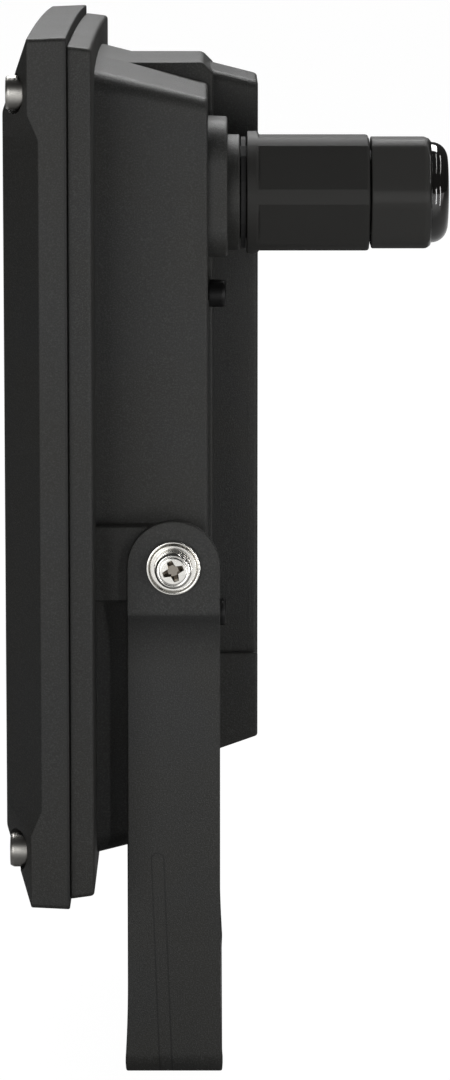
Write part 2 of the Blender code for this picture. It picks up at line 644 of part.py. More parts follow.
def make_bezel():
    """The front frame: sloping faces, deeper slopes along its sides, and a glass pocket."""
    size = (BEZEL_WIDTH, BEZEL_HEIGHT, BEZEL_CORNER, BEZEL_CROWN)
    shoulder = (BEZEL_WIDTH - 2 * BEZEL_DRAFT, BEZEL_HEIGHT - 2 * BEZEL_DRAFT,
                BEZEL_CORNER, BEZEL_CROWN)
    bezel = loft("bezel", [
        (rounded_outline(*size), BEZEL_BACK),
        (rounded_outline(*shoulder), BEZEL_FRONT - RIM_DROP),
        (rounded_outline(RIM_WIDTH, RIM_HEIGHT, BEZEL_CORNER, BEZEL_CROWN), BEZEL_FRONT)])
    place(bezel, CHARCOAL, FACE)
    round_edges(bezel, BEZEL_EDGE)
    slope_run = (BEZEL_WIDTH - RIM_WIDTH) / 2
    slope = math.atan2(RELIEF_DROP, slope_run)
    rise = (RELIEF_DROP - RIM_DROP) * math.cos(slope)
    height = 2 * rise
    reach = 2 * slope_run
    for side in (1, -1):
        relief = loft("side_relief", [
            (rounded_outline(reach, RELIEF_LENGTH, SEAT_GAP), 0),
            (rounded_outline(reach, RELIEF_LENGTH + 2 * RELIEF_END_RUN * height / rise,
                             SEAT_GAP), height)])
        start = reach / 2 - OVERRUN
        middle = (side * (RIM_WIDTH / 2 + start * math.cos(slope)), 0,
                  BEZEL_FRONT - start * math.sin(slope))
        cut(bezel, place(relief, None, FACE, middle, (0, side * slope, 0)))
    pocket = loft("glass_pocket", [
        (rounded_outline(GLASS_WIDTH + 2 * GLASS_EDGE_CLEARANCE,
                         GLASS_HEIGHT + 2 * GLASS_EDGE_CLEARANCE,
                         GLASS_CORNER + GLASS_EDGE_CLEARANCE), z)
        for z in (BEZEL_BACK - OVERRUN, LIP_BACK)])
    cut(bezel, place(pocket, None, FACE))
    flare = WINDOW_FLARE * (LIP_THICKNESS + OVERRUN) / LIP_THICKNESS
    window = loft("window", [
        (rounded_outline(WINDOW_WIDTH, WINDOW_HEIGHT, WINDOW_CORNER), LIP_BACK - OVERRUN),
        (rounded_outline(WINDOW_WIDTH, WINDOW_HEIGHT, WINDOW_CORNER), LIP_BACK),
        (rounded_outline(WINDOW_WIDTH + 2 * flare, WINDOW_HEIGHT + 2 * flare, WINDOW_CORNER),
         BEZEL_FRONT + OVERRUN)])
    cut(bezel, place(window, None, FACE))
    places = bezel_screw_places()
    pockets = rods("bezel_screw_pockets", places,
                   BEZEL_SCREW_HEAD_RADIUS + BEZEL_SCREW_POCKET_CLEARANCE,
                   BEZEL_SEAT, BEZEL_FRONT + OVERRUN, ROUND_STEPS)
    cut(bezel, place(pockets, None, FACE))
    holes = rods("bezel_screw_holes", places, BEZEL_SCREW_RADIUS + THREAD_CLEARANCE,
                 BEZEL_BACK - OVERRUN, BEZEL_SEAT + OVERRUN)
    cut(bezel, place(holes, None, FACE))


def bezel_screw_places():
    """Where the four bezel screws stand, on the face frame."""
    return four_corners(BEZEL_WIDTH / 2 - BEZEL_SCREW_INSET_X,
                        BEZEL_HEIGHT / 2 - BEZEL_SCREW_INSET_Y)


def make_bezel_screws():
    """Socket head screws through the bezel into the flange."""
    top = BEZEL_SCREW_HEAD_HEIGHT
    edge = SEAT_GAP
    tip = -(BEZEL_SEAT + SEAT_GAP - HOUSING_FRONT) - BEZEL_SCREW_REACH
    profile = [(0, top), (BEZEL_SCREW_HEAD_RADIUS - edge, top),
               (BEZEL_SCREW_HEAD_RADIUS, top - edge), (BEZEL_SCREW_HEAD_RADIUS, 0),
               (BEZEL_SCREW_RADIUS, 0), (BEZEL_SCREW_RADIUS, tip), (0, tip)]
    for number, (x, y) in enumerate(bezel_screw_places(), 1):
        screw = turned(f"bezel_screw_{number}", profile)
        place(screw, STAINLESS, FACE, (x, y, BEZEL_SEAT + SEAT_GAP))
        socket = hexagon("bezel_screw_socket", 2 * BEZEL_SCREW_SOCKET, top / 2, top + OVERRUN)
        cut(screw, place(socket, None, FACE, (x, y, BEZEL_SEAT + SEAT_GAP)))
        smooth(screw)


def make_glass():
    """The tempered glass, the gasket in front of it and the frame behind it."""
    glass = loft("glass", [(rounded_outline(GLASS_WIDTH, GLASS_HEIGHT, GLASS_CORNER), z)
                           for z in (GLASS_BACK, GLASS_FRONT)])
    place(glass, CLEAR_GLASS, FACE)
    outer = rounded_outline(GLASS_WIDTH, GLASS_HEIGHT, GLASS_CORNER)
    inner = rounded_outline(WINDOW_WIDTH, WINDOW_HEIGHT, WINDOW_CORNER)
    gasket = prism("glass_gasket", [outer, inner], GASKET_THICKNESS)
    place(gasket, BLACK_RUBBER, FACE, (0, 0, GASKET_FRONT - GASKET_THICKNESS / 2))
    wide = GLASS_WIDTH - 2 * FRAME_INSET
    tall = GLASS_HEIGHT - 2 * FRAME_INSET
    frame = loft("inner_frame", [(rounded_outline(wide, tall, GLASS_CORNER), z)
                                 for z in (FRAME_BACK, FRAME_FRONT)])
    place(frame, GREY_FRAME, FACE)
    gain = (FRAME_FOOT - FRAME_BRIM) / (FRAME_FRONT - FRAME_BACK)
    opening = loft("inner_frame_opening", [
        (rounded_outline(wide - 2 * (FRAME_FOOT + gain * OVERRUN),
                         tall - 2 * (FRAME_FOOT + gain * OVERRUN), WINDOW_CORNER),
         FRAME_BACK - OVERRUN),
        (rounded_outline(wide - 2 * (FRAME_BRIM - gain * OVERRUN),
                         tall - 2 * (FRAME_BRIM - gain * OVERRUN), WINDOW_CORNER),
         FRAME_FRONT + OVERRUN)])
    cut(frame, place(opening, None, FACE))


def seal_outline(extra):
    """The seal's centre line, made larger or smaller all round."""
    return rounded_outline(BEZEL_WIDTH - 2 * SEAL_INSET_X + 2 * extra,
                           BEZEL_HEIGHT - 2 * SEAL_INSET_Y + 2 * extra, SEAL_CORNER + extra)


def make_bezel_seal():
    """The rubber ring in the flange's groove."""
    half = SEAL_WIDTH / 2
    seal = prism("bezel_seal", [seal_outline(half), seal_outline(-half)], SEAL_THICKNESS)
    place(seal, BLACK_RUBBER, FACE, (0, 0, HOUSING_FRONT - SEAL_THICKNESS / 2))


def body_ring(z, side_wall=0.0, end_wall=0.0):
    """The body's outline at a depth, or the cavity's inside its walls."""
    share = (FLANGE_BACK - z) / BODY_DEPTH
    width = BODY_WIDTH - 2 * BODY_SIDE_DRAFT * share - 2 * side_wall
    height = BODY_HEIGHT - 2 * BODY_TOP_DRAFT * share - 2 * end_wall
    crown = BODY_CROWN if end_wall == 0 else 0.0
    return rounded_outline(width, height, BODY_CORNER, crown, -BODY_SINK), z


def make_housing():
    """The casting: flange, hollow body, ridge, lugs, gland boss and inner bosses."""
    wide = BEZEL_WIDTH - 2 * FLANGE_INSET
    tall = BEZEL_HEIGHT - 2 * FLANGE_INSET
    flange = loft("housing", [
        (rounded_outline(wide, tall, BEZEL_CORNER, BEZEL_CROWN), HOUSING_FRONT),
        (rounded_outline(wide - 2 * FLANGE_DRAFT, tall - 2 * FLANGE_DRAFT, BEZEL_CORNER,
                         BEZEL_CROWN), FLANGE_BACK)])
    housing = place(flange, CHARCOAL, FACE)
    round_edges(housing, FLANGE_EDGE)
    body = place(loft("housing_body", [body_ring(FLANGE_BACK + OVERRUN), body_ring(BODY_BACK)]),
                 None, FACE)
    round_edges(body, BODY_EDGE)
    cut(housing, body, "UNION")
    add_ridge(housing)
    add_lugs(housing)
    add_gland_boss(housing)
    add_driver_box(housing)
    cavity = loft("housing_cavity", [
        body_ring(HOUSING_FRONT + OVERRUN, BODY_SIDE_WALL, BODY_END_WALL),
        body_ring(BODY_FLOOR, BODY_SIDE_WALL, BODY_END_WALL)])
    cut(housing, place(cavity, None, FACE))
    recess = loft("spreader_recess", [
        (rounded_outline(SPREADER_WIDTH + 2 * SPREADER_CLEARANCE,
                         SPREADER_HEIGHT + 2 * SPREADER_CLEARANCE,
                         SPREADER_CORNER + SPREADER_CLEARANCE), z)
        for z in (RECESS_FLOOR, HOUSING_FRONT + OVERRUN)])
    cut(housing, place(recess, None, FACE))
    add_inner_bosses(housing)
    cut_housing_holes(housing)


def add_ridge(housing):
    """The raised middle of the top, which runs down the rear wall as a low panel."""
    back = REAR_PANEL_RISE - BODY_BACK
    root = -BODY_BACK - OVERRUN
    outline = [(-RIDGE_FRONT, RIDGE_ROOT), (-RIDGE_FRONT, RIDGE_TOP),
               (back - RIDGE_CHAMFER_RUN, RIDGE_TOP), (back, RIDGE_TOP - RIDGE_CHAMFER_DROP),
               (back, REAR_PANEL_END), (root, REAR_PANEL_END), (root, RIDGE_ROOT)]
    ridge = prism("housing_ridge", [outline], RIDGE_WIDTH)
    cut(housing, place(ridge, None, FACE, rotation=(0, math.radians(90), 0)), "UNION")


def add_lugs(housing):
    """A lug on each side, which runs from the flange to the tilt axis."""
    outline = [(-(FLANGE_BACK + OVERRUN), -LUG_RADIUS)]
    steps = 2 * BEND_STEPS
    for step in range(steps + 1):
        angle = math.radians(180) * step / steps - math.radians(90)
        outline.append((LUG_RADIUS * math.cos(angle), LUG_RADIUS * math.sin(angle)))
    outline.append((-(FLANGE_BACK + OVERRUN), LUG_RADIUS))
    for side in (1, -1):
        lug = prism("housing_lug", [outline], LUG_FACE - LUG_ROOT)
        middle = (side * (LUG_FACE + LUG_ROOT) / 2, TILT_Y + LUG_RISE, 0)
        cut(housing, place(lug, None, FACE, middle, (0, math.radians(90), 0)), "UNION")


def boss_outline(extra):
    """The gland boss's outline about the gland's axis, made larger all round."""
    points = []
    for turn, (side_x, reach_y, radius) in enumerate((
            (1, GLAND_BOSS_TOP, GLAND_BOSS_TOP_CORNER), (-1, GLAND_BOSS_TOP, GLAND_BOSS_TOP_CORNER),
            (-1, -GLAND_BOSS_BOTTOM, GLAND_BOSS_BOTTOM_CORNER),
            (1, -GLAND_BOSS_BOTTOM, GLAND_BOSS_BOTTOM_CORNER))):
        middle_x = side_x * (GLAND_BOSS_WIDTH / 2 - radius)
        middle_y = reach_y - math.copysign(radius, reach_y)
        for step in range(BEND_STEPS + 1):
            angle = math.radians(90) * (turn + step / BEND_STEPS)
            points.append((middle_x + (radius + extra) * math.cos(angle),
                           middle_y + (radius + extra) * math.sin(angle)))
    return points


def add_gland_boss(housing):
    """The boss and round collar that the gland seats on."""
    boss = loft("gland_boss", [(boss_outline(GLAND_BOSS_DRAFT), BODY_BACK + OVERRUN),
                               (boss_outline(0), GLAND_BOSS_END)])
    place(boss, None, FACE, (GLAND_X, GLAND_Y, 0))
    round_edges(boss, GLAND_BOSS_EDGE)
    cut(housing, boss, "UNION")
    collar = rods("gland_collar", ((0, 0),), GLAND_COLLAR_RADIUS,
                  GLAND_COLLAR_END, GLAND_BOSS_END + OVERRUN, LARGE_ROUND_STEPS)
    cut(housing, place(collar, None, FACE, (GLAND_X, GLAND_Y, 0)), "UNION")


def rear_screw_places():
    """Where the four rear screws stand."""
    reach = REAR_SCREW_SPACING_X / 2
    return [(x, y) for y in (REAR_SCREW_HIGH, REAR_SCREW_LOW) for x in (reach, -reach)]


def cover_screw_places():
    """Where the rear cover's four screws stand."""
    reach = COVER_SCREW_SPACING_X / 2
    return [(x, y) for y in (BOX_TOP - COVER_SCREW_INSET, BOX_BOTTOM + COVER_SCREW_INSET)
            for x in (reach, -reach)]


def driver_screw_places():
    """Where the driver's two screws stand."""
    reach = TAB_HEIGHT / 2 - DRIVER_SCREW_INSET
    return [(0, WINDOW_REAR_MIDDLE + reach), (0, WINDOW_REAR_MIDDLE - reach)]


def add_inner_bosses(housing):
    """Columns under the heat spreader, and the short earth boss."""
    columns = rods("spreader_columns", rear_screw_places(), REAR_BOSS_RADIUS,
                   BODY_FLOOR - OVERRUN, RECESS_FLOOR)
    cut(housing, place(columns, None, FACE), "UNION")
    earth = rods("earth_boss", ((EARTH_X, EARTH_Y),), EARTH_BOSS_RADIUS,
                 BODY_FLOOR - OVERRUN, BODY_FLOOR + EARTH_BOSS_HEIGHT)
    cut(housing, place(earth, None, FACE), "UNION")


def window_outline(extra):
    """The outline of the window in the driver box, made larger all round."""
    return rounded_outline(WINDOW_REAR_WIDTH + 2 * extra, WINDOW_REAR_HEIGHT + 2 * extra,
                           BOX_CORNER + extra, 0.0, WINDOW_REAR_MIDDLE)


def cut_housing_holes(housing):
    """The driver window, the two seal grooves, and every hole in the casting."""
    half = SEAL_WIDTH / 2 + SEAL_SIDE_CLEARANCE
    depth = SEAL_THICKNESS + SEAT_GAP
    groove = prism("seal_groove", [seal_outline(half), seal_outline(-half)], depth + OVERRUN)
    cut(housing, place(groove, None, FACE, (0, 0, HOUSING_FRONT + (OVERRUN - depth) / 2)))
    window = loft("rear_window", [(window_outline(0), z)
                                  for z in (BOX_FACE - OVERRUN, BODY_FLOOR + OVERRUN)])
    cut(housing, place(window, None, FACE))
    depth = COVER_GASKET_THICKNESS + SEAT_GAP
    inner = COVER_GASKET_MARGIN - SEAT_GAP
    outer = COVER_GASKET_MARGIN + COVER_GASKET_WIDTH + SEAT_GAP
    groove = prism("cover_groove", [window_outline(outer), window_outline(inner)],
                   depth + OVERRUN)
    cut(housing, place(groove, None, FACE, (0, 0, BOX_FACE + (depth - OVERRUN) / 2)))
    drillings = (
        ("flange_threads", bezel_screw_places(), BEZEL_SCREW_RADIUS,
         HOUSING_FRONT - BEZEL_SCREW_REACH - SEAT_GAP, HOUSING_FRONT + OVERRUN),
        ("rear_screw_holes", rear_screw_places(), REAR_SCREW_RADIUS,
         BODY_BACK - OVERRUN, RECESS_FLOOR + OVERRUN),
        ("cover_threads", cover_screw_places(), COVER_SCREW_RADIUS,
         BOX_FACE - OVERRUN, BOX_FACE + COVER_SCREW_REACH + SEAT_GAP),
        ("driver_threads", driver_screw_places(), DRIVER_SCREW_RADIUS,
         BODY_FLOOR - DRIVER_SCREW_REACH - SEAT_GAP, BODY_FLOOR + OVERRUN),
        ("earth_thread", ((EARTH_X, EARTH_Y),), EARTH_SCREW_RADIUS,
         BODY_FLOOR + EARTH_BOSS_HEIGHT - EARTH_SCREW_REACH - SEAT_GAP,
         BODY_FLOOR + EARTH_BOSS_HEIGHT + OVERRUN),
        ("gland_thread_hole", ((GLAND_X, GLAND_Y),), GLAND_THREAD_RADIUS,
         GLAND_COLLAR_END - OVERRUN, BODY_FLOOR + OVERRUN))
    for name, places, radius, start, end in drillings:
        steps = LARGE_ROUND_STEPS if name == "gland_thread_hole" else SMALL_ROUND_STEPS
        drill = rods(name, places, radius + THREAD_CLEARANCE, start, end, steps)
        cut(housing, place(drill, None, FACE))
    for side in (1, -1):
        depth = LUG_FACE - BOLT_TIP + SEAT_GAP
        drill = rods("pivot_thread", ((0, 0),), BOLT_RADIUS + THREAD_CLEARANCE,
                     0, depth + OVERRUN)
        start = (side * (BOLT_TIP - SEAT_GAP), TILT_Y, 0)
        cut(housing, place(drill, None, FACE, start, (0, side * math.radians(90), 0)))


def make_light_engine():
    """Heat spreader, LED board, lens plate and the screws that hold them together."""
    spreader = loft("heat_spreader", [
        (rounded_outline(SPREADER_WIDTH, SPREADER_HEIGHT, SPREADER_CORNER), z)
        for z in (SPREADER_BACK, SPREADER_FRONT)])
    place(spreader, ALUMINIUM, FACE)
    board = loft("led_board", [(rounded_outline(BOARD_WIDTH, BOARD_HEIGHT, BOARD_CORNER), z)
                               for z in (BOARD_BACK, BOARD_FRONT)])
    place(board, WHITE_BOARD, FACE)
    wide = BOARD_WIDTH - 2 * LENS_PLATE_INSET
    tall = BOARD_HEIGHT - 2 * LENS_PLATE_INSET
    plate = loft("lens_plate", [(rounded_outline(wide, tall, BOARD_CORNER), z)
                                for z in (LENS_BACK, LENS_FRONT)])
    place(plate, CLEAR_LENS, FACE)
    centres = [((column - (LED_COLUMNS - 1) / 2) * LED_PITCH_X,
                (row - (LED_ROWS - 1) / 2) * LED_PITCH_Y)
               for row in range(LED_ROWS) for column in range(LED_COLUMNS)]
    chips = rods("led_chips", centres, LED_SIZE / math.sqrt(2),
                 BOARD_FRONT - LED_SINK, BOARD_FRONT + LED_HEIGHT, 4)
    cut(board, place(chips, None, FACE), "UNION")
    domes = rods("lens_domes", centres, LENS_RADIUS, LENS_FRONT - LENS_SINK,
                 LENS_FRONT + LENS_HEIGHT, SMALL_ROUND_STEPS, LENS_TOP_RADIUS)
    cut(plate, place(domes, None, FACE), "UNION")
    corners = four_corners(BOARD_WIDTH / 2 - LENS_SCREW_INSET,
                           BOARD_HEIGHT / 2 - LENS_SCREW_INSET)
    posts = rods("lens_posts", corners, LENS_POST_RADIUS, BOARD_FRONT + SEAT_GAP,
                 LENS_BACK + LENS_SINK)
    cut(plate, place(posts, None, FACE), "UNION")
    holes = rods("lens_screw_holes", corners, LENS_SCREW_RADIUS + THREAD_CLEARANCE,
                 SPREADER_FRONT - LENS_SCREW_REACH - SEAT_GAP, LENS_FRONT + OVERRUN)
    place(holes, None, FACE)
    lead_way = rods("lead_way", ((0, -LEAD_HOLE_Y),), LEAD_HOLE_RADIUS,
                    SPREADER_BACK - OVERRUN, BOARD_FRONT + OVERRUN)
    place(lead_way, None, FACE)
    rear_threads = rods("spreader_threads", rear_screw_places(),
                        REAR_SCREW_RADIUS + THREAD_CLEARANCE, SPREADER_BACK - OVERRUN,
                        SPREADER_BACK + REAR_SCREW_REACH + SEAT_GAP)
    place(rear_threads, None, FACE)
    for piece in (spreader, board, plate):
        cut(piece, holes)
    for piece in (spreader, board):
        cut(piece, lead_way)
    cut(spreader, rear_threads)
    make_pan_screws("lens_screw", corners, LENS_FRONT + SEAT_GAP, 1, LENS_SCREW_RADIUS,
                    LENS_SCREW_HEAD_RADIUS, LENS_SCREW_HEAD_HEIGHT,
                    LENS_FRONT + SEAT_GAP - SPREADER_FRONT + LENS_SCREW_REACH, STAINLESS)


def make_pan_screws(name, places, seat, side, radius, head_radius, head_height, length, surface):
    """Domed screws: their heads face forward when side is 1, and rearward when it is -1."""
    profile = [(0, head_height)]
    curve = min(head_height, head_radius) / 3
    for step in range(CORNER_STEPS + 1):
        angle = math.radians(90) * (1 - step / CORNER_STEPS)
        profile.append((head_radius - curve * (1 - math.cos(angle)),
                        head_height - curve * (1 - math.sin(angle))))
    profile += [(head_radius, 0), (radius, 0), (radius, -length), (0, -length)]
    for number, (x, y) in enumerate(places, 1):
        label = f"{name}_{number}" if len(places) > 1 else name
        screw = turned(label, profile, steps=SMALL_ROUND_STEPS)
        turn = 0 if side > 0 else math.radians(180)
        place(screw, surface, FACE, (x, y, seat), (turn, 0, 0))
        smooth(screw)


def make_rear_screws():
    """The black screws behind, through the columns into the heat spreader."""
    seat = BODY_BACK - SEAT_GAP
    make_pan_screws("rear_screw", rear_screw_places(), seat, -1, REAR_SCREW_RADIUS,
                    REAR_SCREW_HEAD_RADIUS, REAR_SCREW_HEAD_HEIGHT,
                    SPREADER_BACK - seat + REAR_SCREW_REACH, BLACK_SCREW)


def box_ring(z, width=BOX_WIDTH, top=BOX_TOP, bottom=BOX_BOTTOM):
    """The outline of the driver box at a depth."""
    depth = BODY_BACK - z
    high = top - depth * math.tan(BOX_TOP_DRAFT)
    low = bottom + depth * math.tan(BOX_BOTTOM_DRAFT)
    return rounded_outline(width - 2 * depth * math.tan(BOX_SIDE_DRAFT), high - low,
                           BOX_CORNER, 0.0, (high + low) / 2), z


def add_driver_box(housing):
    """The box behind the rear wall, which the driver stands in, and its wider foot."""
    box = loft("driver_box", [box_ring(BODY_BACK + OVERRUN), box_ring(BOX_FACE)])
    cut(housing, place(box, None, FACE), "UNION")
    slope = math.tan(BOX_TOP_DRAFT)
    foot = loft("driver_box_foot", [
        box_ring(z, BOX_FOOT_WIDTH, BOX_FOOT_TOP + (BODY_BACK - z) * slope,
                 BOX_BOTTOM - OVERRUN)
        for z in (BODY_BACK + OVERRUN, COVER_BACK)])
    place(foot, None, FACE)
    round_edges(foot, BOX_FOOT_EDGE)
    cut(housing, foot, "UNION")
    room = loft("cover_room", [
        box_ring(z, BOX_WIDTH + 2 * SEAT_GAP, BOX_TOP, BOX_BOTTOM - 3 * OVERRUN)
        for z in (BOX_FACE, COVER_BACK - OVERRUN)])
    cut(housing, place(room, None, FACE))


def make_rear_cover():
    """The flat rear cover, its gasket and its four countersunk screws."""
    edge = box_ring(COVER_BACK + COVER_EDGE)
    rim = box_ring(COVER_BACK, BOX_WIDTH - COVER_EDGE, BOX_TOP - COVER_EDGE / 2,
                   BOX_BOTTOM + COVER_EDGE / 2)
    cover = loft("rear_cover", [box_ring(COVER_FRONT), edge, rim])
    place(cover, CHARCOAL, FACE)
    spigot = loft("cover_spigot", [(window_outline(-SEAT_GAP), z)
                                   for z in (COVER_FRONT - OVERRUN, SPIGOT_FRONT)])
    cut(cover, place(spigot, None, FACE), "UNION")
    places = cover_screw_places()
    clear_radius = COVER_SCREW_RADIUS + THREAD_CLEARANCE
    holes = rods("cover_screw_holes", places, clear_radius,
                 COVER_BACK - OVERRUN, COVER_FRONT + OVERRUN)
    cut(cover, place(holes, None, FACE))
    slope = (COVER_SCREW_HEAD_RADIUS - COVER_SCREW_RADIUS) / COVER_SCREW_HEAD_HEIGHT
    sinks = rods("cover_screw_sinks", places,
                 COVER_SCREW_HEAD_RADIUS + THREAD_CLEARANCE + slope * OVERRUN,
                 COVER_BACK - OVERRUN, COVER_BACK + COVER_SCREW_HEAD_HEIGHT,
                 end_radius=clear_radius)
    cut(cover, place(sinks, None, FACE))
    gasket = prism("rear_cover_gasket", [
        window_outline(COVER_GASKET_MARGIN + COVER_GASKET_WIDTH),
        window_outline(COVER_GASKET_MARGIN)], COVER_GASKET_THICKNESS)
    place(gasket, BLACK_RUBBER, FACE, (0, 0, BOX_FACE + COVER_GASKET_THICKNESS / 2))
    tip = BOX_FACE + COVER_SCREW_REACH - COVER_BACK
    profile = [(0, 0), (COVER_SCREW_HEAD_RADIUS, 0),
               (COVER_SCREW_RADIUS, -COVER_SCREW_HEAD_HEIGHT),
               (COVER_SCREW_RADIUS, -tip), (0, -tip)]
    for number, (x, y) in enumerate(places, 1):
        screw = turned(f"rear_cover_screw_{number}", profile, steps=SMALL_ROUND_STEPS)
        place(screw, STAINLESS, FACE, (x, y, COVER_BACK), (math.radians(180), 0, 0))
        smooth(screw)


def make_driver():
    """The driver stands through the rear window and is screwed to the rear wall."""
    back = SPIGOT_FRONT + SEAT_GAP
    driver = block("driver", (DRIVER_WIDTH, DRIVER_HEIGHT, DRIVER_FORWARD - back),
                   (0, 0, (DRIVER_FORWARD + back) / 2))
    place(driver, DRIVER_CASE, FACE, (0, WINDOW_REAR_MIDDLE, 0))
    round_edges(driver, DRIVER_EDGE)
    seat = BODY_FLOOR + SEAT_GAP
    tab = block("driver_tab", (TAB_WIDTH, TAB_HEIGHT, TAB_THICKNESS),
                (0, WINDOW_REAR_MIDDLE, seat + TAB_THICKNESS / 2))
    cut(driver, place(tab, None, FACE), "UNION")
    holes = rods("driver_screw_holes", driver_screw_places(),
                 DRIVER_SCREW_RADIUS + THREAD_CLEARANCE, seat - OVERRUN,
                 seat + TAB_THICKNESS + OVERRUN)
    cut(driver, place(holes, None, FACE))
    head = seat + TAB_THICKNESS + SEAT_GAP
    make_pan_screws("driver_screw", driver_screw_places(), head, 1, DRIVER_SCREW_RADIUS,
                    DRIVER_SCREW_HEAD_RADIUS, DRIVER_SCREW_HEAD_HEIGHT,
                    head - BODY_FLOOR + DRIVER_SCREW_REACH, STAINLESS)


def make_terminals():
    """The terminal block on the rear wall, and the earth screw below it."""
    seat = BODY_FLOOR + SEAT_GAP
    terminal = block("terminal_block", (TERMINAL_WIDTH, TERMINAL_HEIGHT, TERMINAL_DEPTH),
                     (0, 0, TERMINAL_DEPTH / 2))
    place(terminal, WHITE_BOARD, FACE, (TERMINAL_X, TERMINAL_Y, seat))
    round_edges(terminal, TERMINAL_EDGE)
    ways = rods("terminal_ways", [(TERMINAL_WAY_PITCH * step, 0) for step in (-1, 0, 1)],
                TERMINAL_WAY_RADIUS, TERMINAL_DEPTH - TERMINAL_WAY_DEPTH,
                TERMINAL_DEPTH + OVERRUN)
    cut(terminal, place(ways, None, FACE, (TERMINAL_X, TERMINAL_Y, seat)))
    make_pan_screws("earth_screw", ((EARTH_X, EARTH_Y),),
                    BODY_FLOOR + EARTH_BOSS_HEIGHT + SEAT_GAP, 1, EARTH_SCREW_RADIUS,
                    EARTH_SCREW_HEAD_RADIUS, EARTH_SCREW_HEAD_HEIGHT,
                    EARTH_SCREW_REACH + SEAT_GAP, STAINLESS)


def make_gland():
    """The cable gland: body, flat ring, lock nut, seal, clamp and cap nut."""
    place(turned("gland_o_ring", ring_profile(
        GLAND_THREAD_RADIUS + THREAD_CLEARANCE, GLAND_RING_RADIUS, GLAND_RING_START,
        GLAND_RING_START - GLAND_RING_THICKNESS), closed=True), BLACK_RUBBER, CAP_AXIS)
    inside = BODY_FLOOR + GLAND_THREAD_INSIDE
    body = turned("gland_body", [
        (0, inside), (GLAND_THREAD_RADIUS, inside), (GLAND_THREAD_RADIUS, GLAND_FLANGE_START),
        (GLAND_FLANGE_RADIUS, GLAND_FLANGE_START), (GLAND_FLANGE_RADIUS, GLAND_HEX_START),
        (GLAND_NECK_RADIUS, GLAND_HEX_START), (GLAND_NECK_RADIUS, GLAND_NECK_END),
        (0, GLAND_NECK_END)], steps=LARGE_ROUND_STEPS)
    place(body, BLACK_NYLON, CAP_AXIS)
    hexagon_body = hexagon("gland_hexagon", GLAND_BODY_FLATS, GLAND_HEX_END - OVERRUN,
                           GLAND_HEX_START + OVERRUN)
    place(hexagon_body, None, CAP_AXIS)
    corner = GLAND_BODY_CORNER
    shoulder = GLAND_BODY_FLATS / 2 - GLAND_BODY_CHAMFER
    trim = turned("gland_hexagon_trim", [
        (0, GLAND_HEX_START + 2 * OVERRUN), (corner, GLAND_HEX_START + 2 * OVERRUN),
        (corner, GLAND_HEX_END + corner - shoulder), (shoulder, GLAND_HEX_END),
        (0, GLAND_HEX_END)], steps=LARGE_ROUND_STEPS)
    cut(hexagon_body, place(trim, None, CAP_AXIS), "INTERSECT")
    cut(body, hexagon_body, "UNION")
    seal_floor = GLAND_NECK_END + GLAND_SEAL_LENGTH
    bore = turned("gland_bore", [
        (0, inside + OVERRUN), (GLAND_BORE_RADIUS, inside + OVERRUN),
        (GLAND_BORE_RADIUS, seal_floor), (GLAND_SEAL_RADIUS + SEAT_GAP, seal_floor),
        (GLAND_SEAL_RADIUS + SEAT_GAP, GLAND_NECK_END - OVERRUN),
        (0, GLAND_NECK_END - OVERRUN)])
    cut(body, place(bore, None, CAP_AXIS))
    nut = hexagon("gland_lock_nut", LOCK_NUT_FLATS, BODY_FLOOR + SEAT_GAP,
                  BODY_FLOOR + SEAT_GAP + LOCK_NUT_THICKNESS)
    place(nut, BLACK_NYLON, CAP_AXIS)
    nut_hole = rods("lock_nut_hole", ((0, 0),), GLAND_THREAD_RADIUS + THREAD_CLEARANCE,
                    BODY_FLOOR - OVERRUN, BODY_FLOOR + LOCK_NUT_THICKNESS + 2 * OVERRUN,
                    LARGE_ROUND_STEPS)
    cut(nut, place(nut_hole, None, CAP_AXIS))
    seal_end = GLAND_NECK_END - GLAND_CLAMP_LENGTH / 2
    place(turned("gland_seal", ring_profile(GLAND_SEAL_BORE, GLAND_SEAL_RADIUS,
                                            seal_floor - SEAT_GAP, seal_end),
                 closed=True), BLACK_RUBBER, CAP_AXIS)
    clamp_inner = GLAND_SEAL_RADIUS + SEAT_GAP
    clamp_top = GLAND_NECK_END - SEAT_GAP
    clamp = turned("gland_clamp", ring_profile(clamp_inner, clamp_inner + GLAND_CLAMP_WALL,
                                               clamp_top, clamp_top - GLAND_CLAMP_LENGTH),
                   closed=True)
    place(clamp, BLACK_NYLON, CAP_AXIS)
    for step in range(GLAND_CLAMP_SLOTS):
        slot = block("gland_clamp_slot", (GLAND_CLAMP_SLOT_WIDTH, 4 * clamp_inner,
                                          GLAND_CLAMP_LENGTH),
                     (0, 0, clamp_top - GLAND_CLAMP_LENGTH))
        turn = math.radians(180) * step / GLAND_CLAMP_SLOTS
        cut(clamp, place(slot, None, CAP_AXIS, rotation=(0, 0, turn)))
    make_gland_cap(clamp_inner + GLAND_CLAMP_WALL + SEAT_GAP,
                   clamp_top - GLAND_CLAMP_LENGTH - SEAT_GAP)


